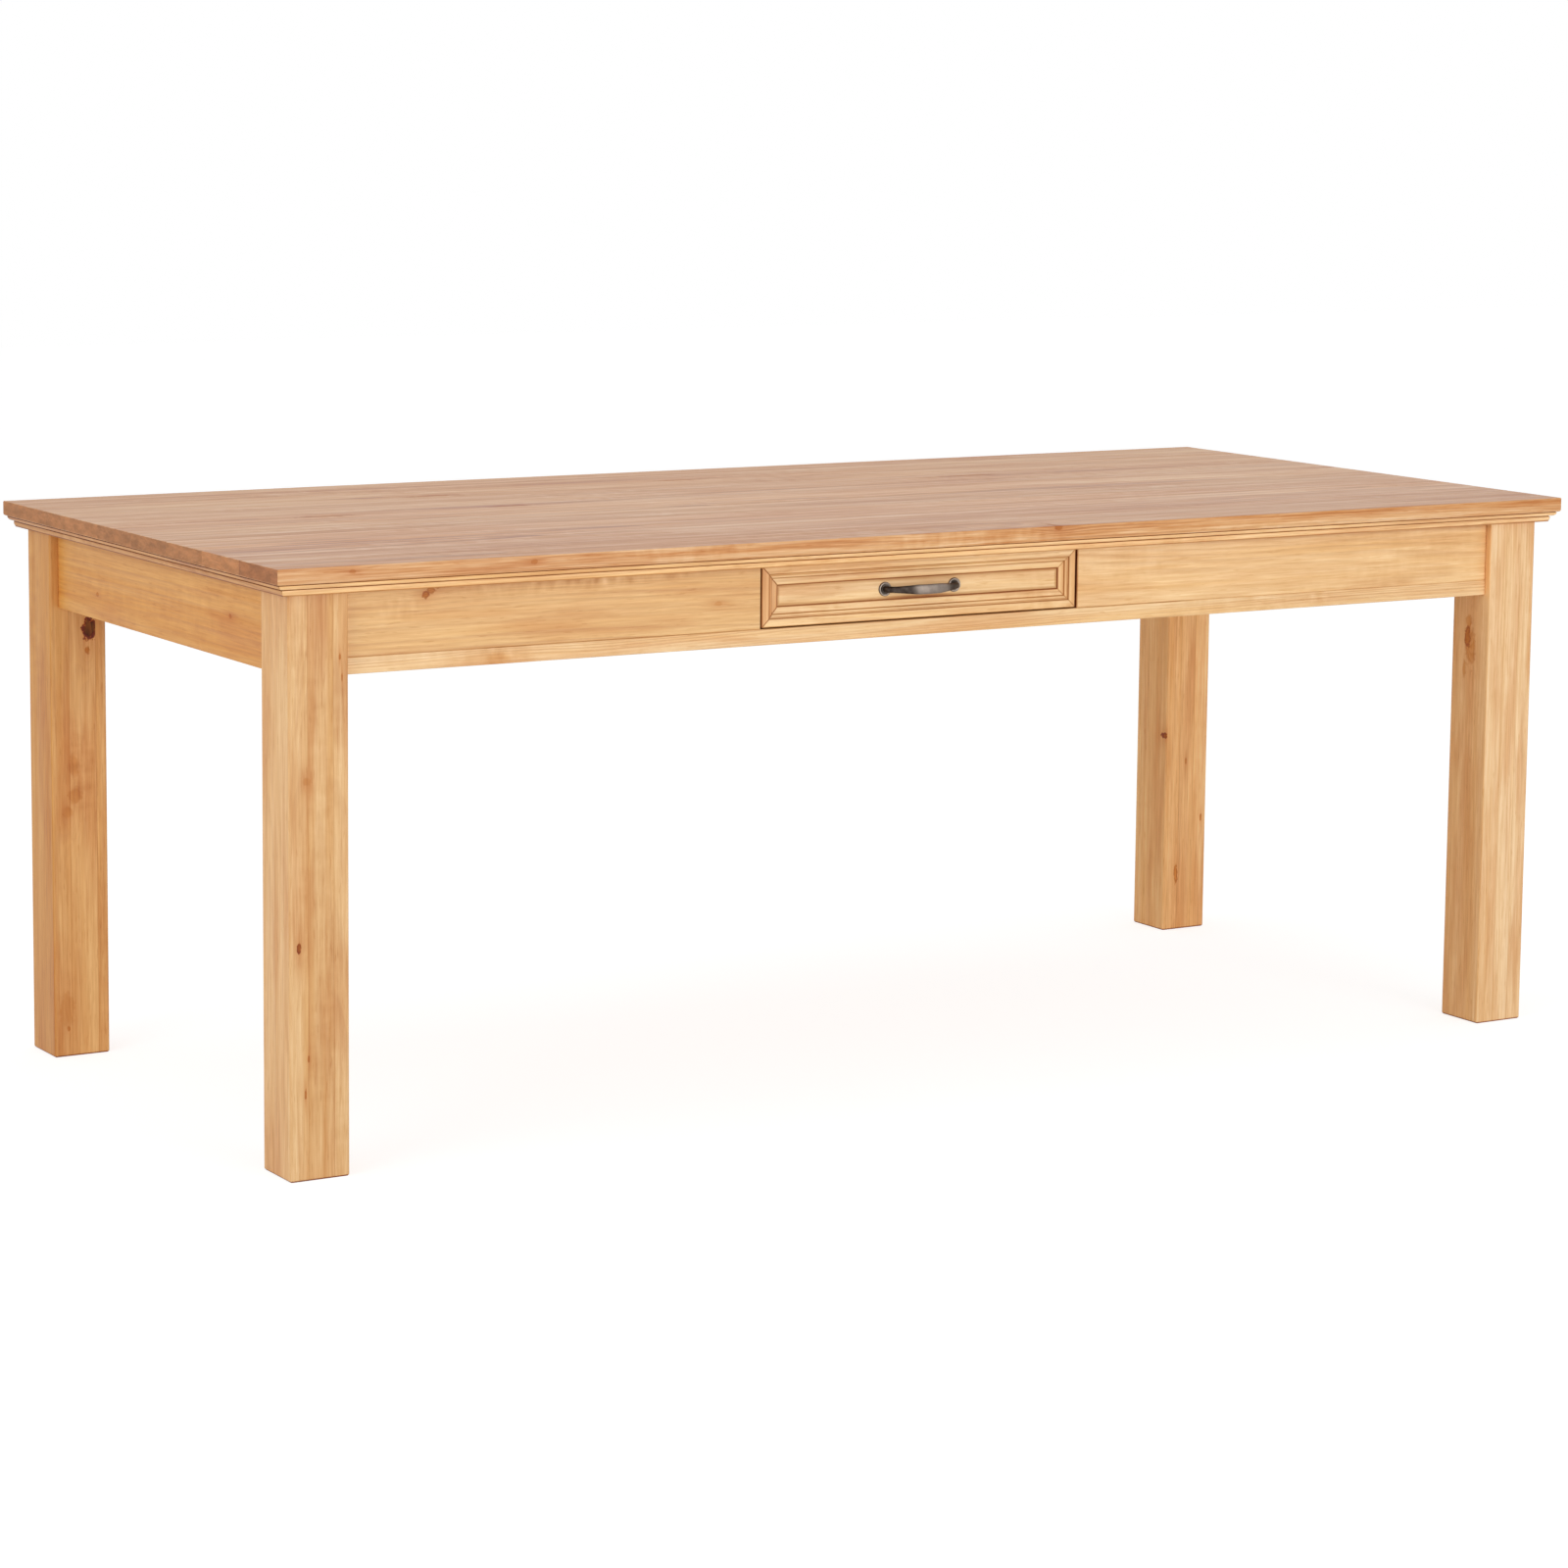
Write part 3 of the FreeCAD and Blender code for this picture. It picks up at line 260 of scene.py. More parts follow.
def growth_rings(g, i, seed, place, local):
    """The late wood of each year, and the distance from the wandering pith."""
    meander = g.noise(g.vector("MULTIPLY", place, (1.3, 0.0, 0.0)), 1.0, colour=True)
    meander = g.vector("SUBTRACT", meander, (0.5, 0.5, 0.5))
    bend = g.vector("SCALE", g.vector("MULTIPLY", meander, (0, 1, 1)), scale=i["Wander"])
    along, across, through = g.split(g.vector("ADD", local, bend))
    round_pith = g.vector("LENGTH", g.join(0.0, across, through))
    ripple = g.minus(stretched(g, place, 2.6, 26.0, detail=2.0), 0.5)
    radius = g.times_plus(ripple, 0.006, round_pith)
    radius = g.times_plus(along, i["Taper"], radius)
    radius = g.math("ADD", radius, i["Shift"])
    years = g.math("DIVIDE", radius, i["Ring"])
    seasons = g.noise(g.join(g.times(years, 0.31), seed, 0.0), detail=1.0)
    years = g.times_plus(seasons, 3.0, years)
    harvest = g.node("ShaderNodeTexWhiteNoise", noise_dimensions="1D")
    g.feed(harvest.inputs["W"], g.math("ADD", g.math("FLOOR", years), seed))
    weight = g.times_plus(harvest.outputs["Value"], 0.8, 0.2)
    season = g.math("FRACT", years)
    late = g.times(g.step(season, 0.2, 0.84), g.step(season, 0.88, 1.0, 1.0, 0.0))
    patchy = g.step(stretched(g, place, 2.6, 16.0, detail=2.0), 0.25, 0.75, 0.3, 1.2)
    late = g.times(g.times(late, weight), patchy)
    return late, radius


def faces_of(g, grain):
    """How far a place is on a sawn end, on an upper face and on a flank; upper faces and flanks take painted
    light.
    """
    facing = g.node("ShaderNodeNewGeometry").outputs["True Normal"]
    ends = g.math("ABSOLUTE", g.vector("DOT_PRODUCT", facing, grain))
    ends = g.step(ends, 0.5, 0.95)
    upper = g.step(g.split(facing)[2], 0.6, 0.95)
    flank = g.step(g.math("ABSOLUTE", g.split(facing)[0]), 0.6, 0.95)
    return ends, upper, flank


def add_knot_colours(g, i, colour, radius):
    """Amber wood round each knot, its ringed heart and its rim of bark."""
    heart_rings = g.step(g.math("FRACT", g.times(radius, 620.0)), 0.2, 0.9)
    heart = g.mix(g.times(heart_rings, 0.8), KNOT_HEART, KNOT_RIM)
    amber = g.times(i["Core"], g.times_plus(heart_rings, 0.6, 0.9))
    colour = g.glaze(colour, KNOT_AMBER, amber)
    colour = g.mix(g.step(i["Core"], 0.72, 1.0, 0.0, 0.8), colour, heart)
    colour = g.glaze(colour, KNOT_BARK, i["Rim"])
    return colour


def make_pine_group():
    """Solid pine: growth rings round a wandering pith, with X along the grain, in metres."""
    g, i, o = new_group(
        "pine",
        sockets("vector", "Place Pith Grain")
        + sockets("float", "Seed Ring Wander Taper Contrast Streak Figure Warmth Stave Spot Pores Fibre Deep")
        + sockets("colour", "Tint Upper Flank")
        + sockets("float", "Shift Core Rim Halo"),
        sockets("colour", "Colour") + sockets("float", "Roughness Height"),
    )
    seed = g.times_plus(i["Stave"], 7.31, i["Seed"])
    lottery = g.node("ShaderNodeTexWhiteNoise", noise_dimensions="1D")
    g.feed(lottery.inputs["W"], seed)
    chance = g.vector("SUBTRACT", lottery.outputs["Color"], (0.5, 0.5, 0.5))
    away = g.math("MINIMUM", i["Stave"], 1.0)
    strayed = g.vector("SCALE", g.vector("MULTIPLY", chance, (0.0, 0.16, 0.16)), scale=away)
    place = g.vector("ADD", i["Place"], g.vector("MULTIPLY", g.join(seed, seed, seed), (3.17, 5.71, 8.93)))
    local = g.vector("ADD", g.vector("SUBTRACT", i["Place"], i["Pith"]), strayed)
    late, radius = growth_rings(g, i, seed, place, local)

    fibre = g.minus(stretched(g, place, 11.0, 330.0, detail=3.0, roughness=0.7), 0.5)
    streak = g.minus(stretched(g, place, 1.5, 70.0, detail=3.0, roughness=0.6), 0.5)
    band = g.minus(stretched(g, place, 1.0, 24.0, detail=2.0), 0.5)
    orange = g.step(stretched(g, place, 3.6, 34.0, detail=3.0, roughness=0.6), 0.44, 0.70)
    canal = g.times(g.step(stretched(g, place, 42.0, 420.0, detail=1.0), 0.62, 0.74), i["Pores"])
    curl = g.minus(stretched(g, place, 54.0, 34.0, detail=2.0), 0.54)
    curly = g.step(stretched(g, place, 4.2, 12.0, detail=0.0), 0.5, 0.72)
    curly = g.times_plus(curly, i["Figure"], i["Spot"])
    ends, upper, flank = faces_of(g, i["Grain"])

    tone = g.times_plus(g.math("ADD", band, streak), 2.6, 0.45, clamp=True)
    colour = g.mix(tone, PALE, HONEY)
    warm = g.math("ADD", g.times(orange, 0.5), g.times(i["Halo"], 0.5))
    colour = g.mix(g.times(warm, i["Warmth"]), colour, ORANGE)
    depth = g.times(g.times(late, i["Contrast"]), 0.7, clamp=True)
    colour = g.mix(depth, colour, LATEWOOD)
    light = g.times_plus(fibre, i["Fibre"], 1.0)
    light = g.times_plus(g.times(streak, i["Streak"]), 0.38, light)
    light = g.times_plus(g.times(band, i["Streak"]), 0.24, light)
    light = g.times_plus(g.times(curl, curly), 0.5, light)
    light = g.times_plus(canal, -0.18, light)
    light = g.times_plus(g.times(g.split(chance)[0], away), 0.10, light)
    green = g.math("POWER", light, g.times_plus(i["Deep"], 0.8, 1.0))
    blue = g.math("POWER", light, g.times_plus(i["Deep"], 1.9, 1.0))
    colour = g.mix(1.0, colour, g.join(light, green, blue), "MULTIPLY")
    pores = g.noise(g.vector("MULTIPLY", place, (20.0, 34.0, 110.0)), detail=4.0, roughness=0.7)
    pores = g.step(pores, 0.3, 0.7, 0.78, 1.18)
    age = g.times_plus(g.split(chance)[1], 0.3, pores)
    sawn = g.mix(1.0, g.mix(g.times(late, 0.5), SAWN, LATEWOOD), g.join(age, age, age), "MULTIPLY")
    colour = g.mix(ends, colour, sawn)
    colour = g.mix(1.0, colour, i["Tint"], "MULTIPLY")
    # painted light: upper faces and flanks take their own colour for how light falls on them
    colour = g.mix(upper, colour, g.mix(1.0, colour, i["Upper"], "MULTIPLY"))
    colour = g.mix(flank, colour, g.mix(1.0, colour, i["Flank"], "MULTIPLY"))
    g.feed(o["Colour"], add_knot_colours(g, i, colour, radius))

    shine = g.times_plus(streak, 0.25, 0.46)
    shine = g.times_plus(late, -0.07, shine)
    shine = g.times_plus(ends, 0.2, shine)
    shine = g.times_plus(i["Core"], 0.3, shine)
    g.feed(o["Roughness"], shine)
    height = g.times_plus(late, 0.6, g.times(fibre, 0.9))
    height = g.times_plus(canal, -0.8, height)
    height = g.times_plus(i["Rim"], -1.0, height)
    g.feed(o["Height"], height)
    return g.tree


def make_finish_group():
    """Wax and painted shade in the corners, painted highlights on the arrises, softened edges and the grain's
    bump.
    """
    g, i, o = new_group(
        "finish",
        sockets("colour", "Colour") + sockets("float", "Height Line Wax"),
        sockets("colour", "Colour") + sockets("vector", "Normal") + sockets("float", "Shade"),
    )
    corner = g.node("ShaderNodeAmbientOcclusion", samples=6, only_local=False)
    corner.inputs["Distance"].default_value = WAX_AND_SHADE_REACH
    # the AO mask: where other surfaces are near, wax and painted shade darken the wood
    shade = g.step(corner.outputs["AO"], 0.1, 0.72, 1.0, 0.0)
    rounded = g.node("ShaderNodeBevel", samples=4)
    rounded.inputs["Radius"].default_value = EDGE_RADIUS
    plain = g.node("ShaderNodeNewGeometry").outputs["True Normal"]
    turned = g.minus(1.0, g.vector("DOT_PRODUCT", rounded.outputs["Normal"], plain))
    g.feed(o["Shade"], shade)
    # painted highlight: the rounded edges are made lighter in colour
    painted_edge_highlight = g.times(g.step(turned, 0.02, 0.2), 0.35)
    colour = g.mix(painted_edge_highlight, i["Colour"], g.mix(1.0, i["Colour"], EDGE_HIGHLIGHT_TINT, "MULTIPLY"))
    colour = g.glaze(colour, WAX_AND_SHADE_GLAZE, g.times(shade, i["Wax"]))
    # dark lines: real joints, and painted shade in grooves and gaps and under the handle
    colour = g.glaze(colour, JOINT_AND_SHADE_LINE, i["Line"])
    g.feed(o["Colour"], colour)
    bump = g.node("ShaderNodeBump")
    bump.inputs["Strength"].default_value = 0.6
    bump.inputs["Distance"].default_value = GRAIN_DEPTH
    g.feed(bump.inputs["Height"], i["Height"])
    g.feed(bump.inputs["Normal"], rounded.outputs["Normal"])
    g.feed(o["Normal"], bump.outputs[0])
    return g.tree


KNOT = make_knot_group()
PINE = make_pine_group()
FINISH = make_finish_group()
AXES = "XYZ"
ALONG_BRANCH = 0.12
LINE_CORE = 0.0002
STAVE_LINE, STAVE_STRENGTH = 0.0012, 0.12
SEAM_FADE = 0.03
MITRE_LINE = 0.0015


def along_grain(axis, vector):
    """A vector in the table's frame, turned so that its X runs along the grain."""
    start = AXES.index(axis)
    return tuple(vector[(start + k) % 3] for k in range(3))


def knot(at, radius, face, long=1.6, dark=1.0, push=1.0, left_of=None):
    """A knot seen on the face across axis face. long is its length along the grain over its width.

    push is how far the rings bend round it, and left_of is the X of a glue line that cuts it off.
    """
    return dict(at=at, radius=radius, face=face, long=long, dark=dark, push=push, left_of=left_of)


def add_knots(g, axis, place, parts, knots):
    """Chain the knot groups, and give their sockets."""
    state = dict(Shift=0.0, Core=0.0, Rim=0.0, Halo=0.0)
    for one in knots:
        section = [1.0, 1.0, 1.0]
        section[AXES.index(axis)] = 1.0 / one["long"]
        section[AXES.index(one["face"])] = ALONG_BRANCH
        flow = list(section)
        flow[AXES.index(axis)] *= 0.45
        dark = one["dark"]
        if one["left_of"] is not None:
            dark = g.times(g.math("LESS_THAN", parts[0], one["left_of"]), dark)
        made = g.group(
            KNOT, Place=place, Centre=along_grain(axis, one["at"]), Section=along_grain(axis, section),
            Flow=along_grain(axis, flow), Radius=one["radius"], Push=one["push"], Dark=dark, **state,
        )
        state = {name: made[name] for name in state}
    return state


def add_line(g, line, off, strength, width):
    """Draw a fine dark line where off, a distance, is near 0."""
    return g.math("MAXIMUM", line, g.step(g.math("ABSOLUTE", off), LINE_CORE, width, strength, 0.0))


def add_staves(g, parts, edges):
    """The number of glue lines to the left of a place in a leg, and those lines."""
    stave = 0.0
    line = 0.0
    for edge in edges:
        stave = g.math("ADD", stave, g.math("GREATER_THAN", parts[0], edge))
        line = add_line(g, line, g.minus(parts[0], edge), STAVE_STRENGTH, STAVE_LINE)
    return stave, line


def add_seams(g, line, parts, broken, seams):
    """Dark lines of open joints and painted shadow lines, each at edge on the axis side and from start to end
    on the axis run.
    """
    for side, edge, strength, width, run, start, end in seams:
        begin = g.step(parts[run], start - SEAM_FADE, start + SEAM_FADE, 0.25, 1.0)
        stop = g.step(parts[run], end - SEAM_FADE, end + SEAM_FADE, 1.0, 0.15)
        fade = g.times(begin, stop)
        fade = g.times(g.times(fade, broken), strength)
        line = add_line(g, line, g.minus(parts[side], edge), fade, width)
    return line


def add_mitres(g, line, parts, mitres):
    """Slanting joints in a front, each through a place (across, up) and rising by slope."""
    for across, up, slope, strength in mitres:
        rise = g.times(g.minus(parts[0], across), slope)
        off = g.minus(g.minus(parts[2], up), rise)
        line = add_line(g, line, off, strength, MITRE_LINE)
    return line


def add_quirks(g, line, parts, patchy_groove_shade, quirks):
    """Painted shade in level grooves, in patches, each at a height."""
    for edge, strength, width in quirks:
        line = add_line(g, line, g.minus(parts[2], edge), g.times(patchy_groove_shade, strength), width)
    return line


def add_outline(g, line, parts, patchy_groove_shade, outline):
    """Painted shade in grooves that run round a front, each at a distance in from its outline."""
    left, right, foot, head, marks = outline
    inside = g.math("MINIMUM", g.minus(parts[0], left), g.minus(right, parts[0]))
    inside = g.math("MINIMUM", inside, g.minus(parts[2], foot))
    inside = g.math("MINIMUM", inside, g.minus(head, parts[2]))
    for edge, strength, width in marks:
        line = add_line(g, line, g.minus(inside, edge), g.times(patchy_groove_shade, strength), width)
    return line


def add_spots(g, spot, spots):
    """How much curlier the grain is near each spot, which has a place, a reach and a strength."""
    extra = 0.0
    for at, reach, strength in spots:
        off = g.vector("MULTIPLY", g.vector("SUBTRACT", spot, at), tuple(1.0 / size for size in reach))
        extra = g.math("ADD", extra, g.step(g.vector("LENGTH", off), 0.4, 1.0, strength, 0.0))
    return extra


def pine_material(name, axis, middle, pith=(0, 0, 0), seed=0.0, ring=0.0038, taper=0.012, wander=0.02,
                  contrast=0.6, streak=1.0, figure=0.5, fibre=0.45, deep=1.0, warmth=1.0, pores=0.5,
                  gloss=0.35, wax=0.9, tint=(1, 1, 1), upper=(1, 1, 1), flank=(1, 1, 1),
                  staves=(), knots=(), spots=(), seams=(), mitres=(), quirks=(), outline=None):
    """Pine with its grain along axis. pith is where the tree's centre is from the piece's own middle. The tints
    for upper faces and flanks are painted light, and the corner glaze is wax and painted shade.
    """
    material, g = new_material(name)
    spot = g.node("ShaderNodeTexCoord").outputs["Object"]
    parts = g.split(spot)
    place = g.join(*along_grain(axis, parts))
    centre = [a + b for a, b in zip(middle, pith)]
    stave, line = add_staves(g, parts, staves)
    broken = g.noise(g.vector("SCALE", spot, scale=14.0), detail=2.0)
    broken = g.times_plus(broken, 1.4, -0.1, clamp=True)
    line = add_seams(g, line, parts, broken, seams)
    line = add_mitres(g, line, parts, mitres)
    # patches of strength for the painted shade in grooves
    patchy_groove_shade = g.times_plus(broken, 0.5, 0.6)
    line = add_quirks(g, line, parts, patchy_groove_shade, quirks)
    if outline:
        line = add_outline(g, line, parts, patchy_groove_shade, outline)
    extra = add_spots(g, spot, spots)
    state = add_knots(g, axis, place, parts, knots)
    grain = tuple(float(letter == axis) for letter in AXES)
    wood = g.group(
        PINE, Place=place, Pith=along_grain(axis, centre), Grain=grain,
        Seed=seed, Ring=ring, Wander=wander, Taper=taper, Contrast=contrast, Streak=streak, Figure=figure,
        Warmth=warmth, Pores=pores, Stave=stave, Spot=extra, Tint=(*tint, 1.0), Upper=(*upper, 1.0),
        Flank=(*flank, 1.0), Fibre=fibre, Deep=deep, **state,
    )
    finish = g.group(FINISH, Colour=wood["Colour"], Height=wood["Height"], Line=line, Wax=wax)
    shader = g.node("ShaderNodeBsdfPrincipled")
    shader.inputs["Specular IOR Level"].default_value = gloss
    g.feed(shader.inputs["Base Color"], finish["Colour"])
    dull = g.times_plus(finish["Shade"], 0.45, wood["Roughness"], clamp=True)
    g.feed(shader.inputs["Roughness"], dull)
    g.feed(shader.inputs["Normal"], finish["Normal"])
    show(g, shader)
    return material


def middle_of(node):
    low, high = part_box(node)
    return (low + high) / 2


def dress(node, material):
    for slot in NODES[node].material_slots:
        slot.material = material


# ---------------------------------------------------------------- which pine goes where
FRONT_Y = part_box("front_apron_left")[0].y
LEG_FRONT_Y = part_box("leg_front_left")[0].y
REAR_LEG_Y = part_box("leg_back_left")[0].y
INNER_LEG_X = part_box("leg_front_right")[0].x
END_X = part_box("left_apron")[0].x
RAIL_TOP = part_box("front_lower_rail")[1].z
APRON_EDGE_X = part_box("front_apron_right")[0].x
DRAWER_LEFT, DRAWER_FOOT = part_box("drawer_front_left_stile")[0].x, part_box("drawer_front_left_stile")[0].z
DRAWER_RIGHT, DRAWER_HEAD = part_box("drawer_front_right_stile")[1].x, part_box("drawer_front_right_stile")[1].z
SLAB_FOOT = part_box("top_board_1")[0].z
TOP_FRONT_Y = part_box("top_board_1")[0].y
TOP_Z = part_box("top_board_1")[1].z
# painted shade in the grooves of the top's edge moulding
MOULDING_QUIRKS = (
    # height, strength, width
    (SLAB_FOOT - 0.0004, 1.0, 0.0012),
    (SLAB_FOOT - 0.0067, 0.8, 0.0012),
    (SLAB_FOOT - 0.0140, 0.5, 0.0012),
)
# painted shade in the grooves of the left end's moulding, stronger
LEFT_QUIRKS = (
    (SLAB_FOOT - 0.0004, 1.2, 0.0018),
    (SLAB_FOOT - 0.0067, 0.9, 0.0018),
    (SLAB_FOOT - 0.0140, 0.6, 0.0014),
)
# painted shade along the gap and the grooves round the drawer's front
DRAWER_GROOVES = (
    # distance in from the outline, strength, width
    (0.0000, 0.55, 0.0018), (0.0108, 0.55, 0.0012), (0.0126, 0.35, 0.0012),
    (0.0164, 0.50, 0.0012), (0.0258, 1.00, 0.0016), (0.0270, 0.30, 0.0040),
)
DRAWER_OUTLINE = (DRAWER_LEFT, DRAWER_RIGHT, DRAWER_FOOT, DRAWER_HEAD, DRAWER_GROOVES)
# a place (across, up) on each mitre, its slope and its strength
LEFT_MITRES = ((DRAWER_LEFT, DRAWER_FOOT, 1, 0.7), (DRAWER_LEFT, DRAWER_HEAD, -1, 0.8))
RIGHT_MITRES = ((DRAWER_RIGHT, DRAWER_FOOT, -1, 0.35), (DRAWER_RIGHT, DRAWER_HEAD, 1, 0.35))
# the height of the painted shadow of the handle, along the panel's lower edge
PANEL_EDGE_HANDLE_SHADOW = DRAWER_FOOT + 0.0265

MOULDING = dict(ring=0.0028, quirks=MOULDING_QUIRKS)
LEG = dict(axis="Z", pith=(0.02, 0.09, 0), ring=0.003)
DRAWER_FRONT = dict(wax=0.15, outline=DRAWER_OUTLINE)
TOP_LOOK = dict(contrast=1.1, streak=2.8, figure=0.6, fibre=0.7, deep=1.6, warmth=0.9, gloss=0.3, wax=0.4)
TOP_TINT = (0.96, 0.94, 0.96)
FRONT_BOARD_TINT = (0.895, 0.80, 0.79)
BOARD_LEAN = 0.012
TOP_UPPER_LIGHTS = (
    # painted shade and painted reflection: how the upper face of each board differs in colour, from the front
    # board to the back one
    (0.885, 0.915, 1.16), (0.85, 0.82, 1.04), (0.88, 0.84, 1.02), (0.86, 0.83, 1.00),
    (0.89, 0.85, 1.00), (0.86, 0.82, 0.96), (0.88, 0.84, 0.94), (0.85, 0.81, 0.92),
)
TOP_KNOTS = {
    1: [
        knot((0.130, TOP_FRONT_Y, 0.758), 0.0045, "Y", long=1.4, dark=0.35),
        knot((-0.654, TOP_FRONT_Y, 0.752), 0.0030, "Y", long=1.3, dark=0.2),
        knot((-0.901, TOP_FRONT_Y, 0.753), 0.0028, "Y", long=1.4, dark=0.2),
    ],
    5: [
        knot((-0.405, 0.095, TOP_Z), 0.0055, "Z", long=7.0, dark=0.35, push=2.8),
        knot((-0.694, 0.077, TOP_Z), 0.0055, "Z", long=7.0, dark=0.35, push=2.8),
    ],
    6: [knot((0.414, 0.193, TOP_Z), 0.0060, "Z", long=7.0, dark=0.3, push=2.8)],
    7: [
        knot((-0.442, 0.261, TOP_Z), 0.0055, "Z", long=7.0, dark=0.35, push=2.8),
        knot((-0.019, 0.313, TOP_Z), 0.0055, "Z", long=7.0, dark=0.3, push=2.8),
    ],
}
TOP_CURLS = {
    3: [((-0.64, -0.12, TOP_Z), (0.09, 0.03, 0.02), 0.8)],
    5: [((-0.41, 0.095, TOP_Z), (0.08, 0.03, 0.02), 0.9), ((-0.69, 0.077, TOP_Z), (0.10, 0.03, 0.02), 0.7)],
    6: [((0.41, 0.193, TOP_Z), (0.12, 0.03, 0.02), 0.8)],
    7: [((-0.44, 0.26, TOP_Z), (0.10, 0.03, 0.02), 0.8)],
}
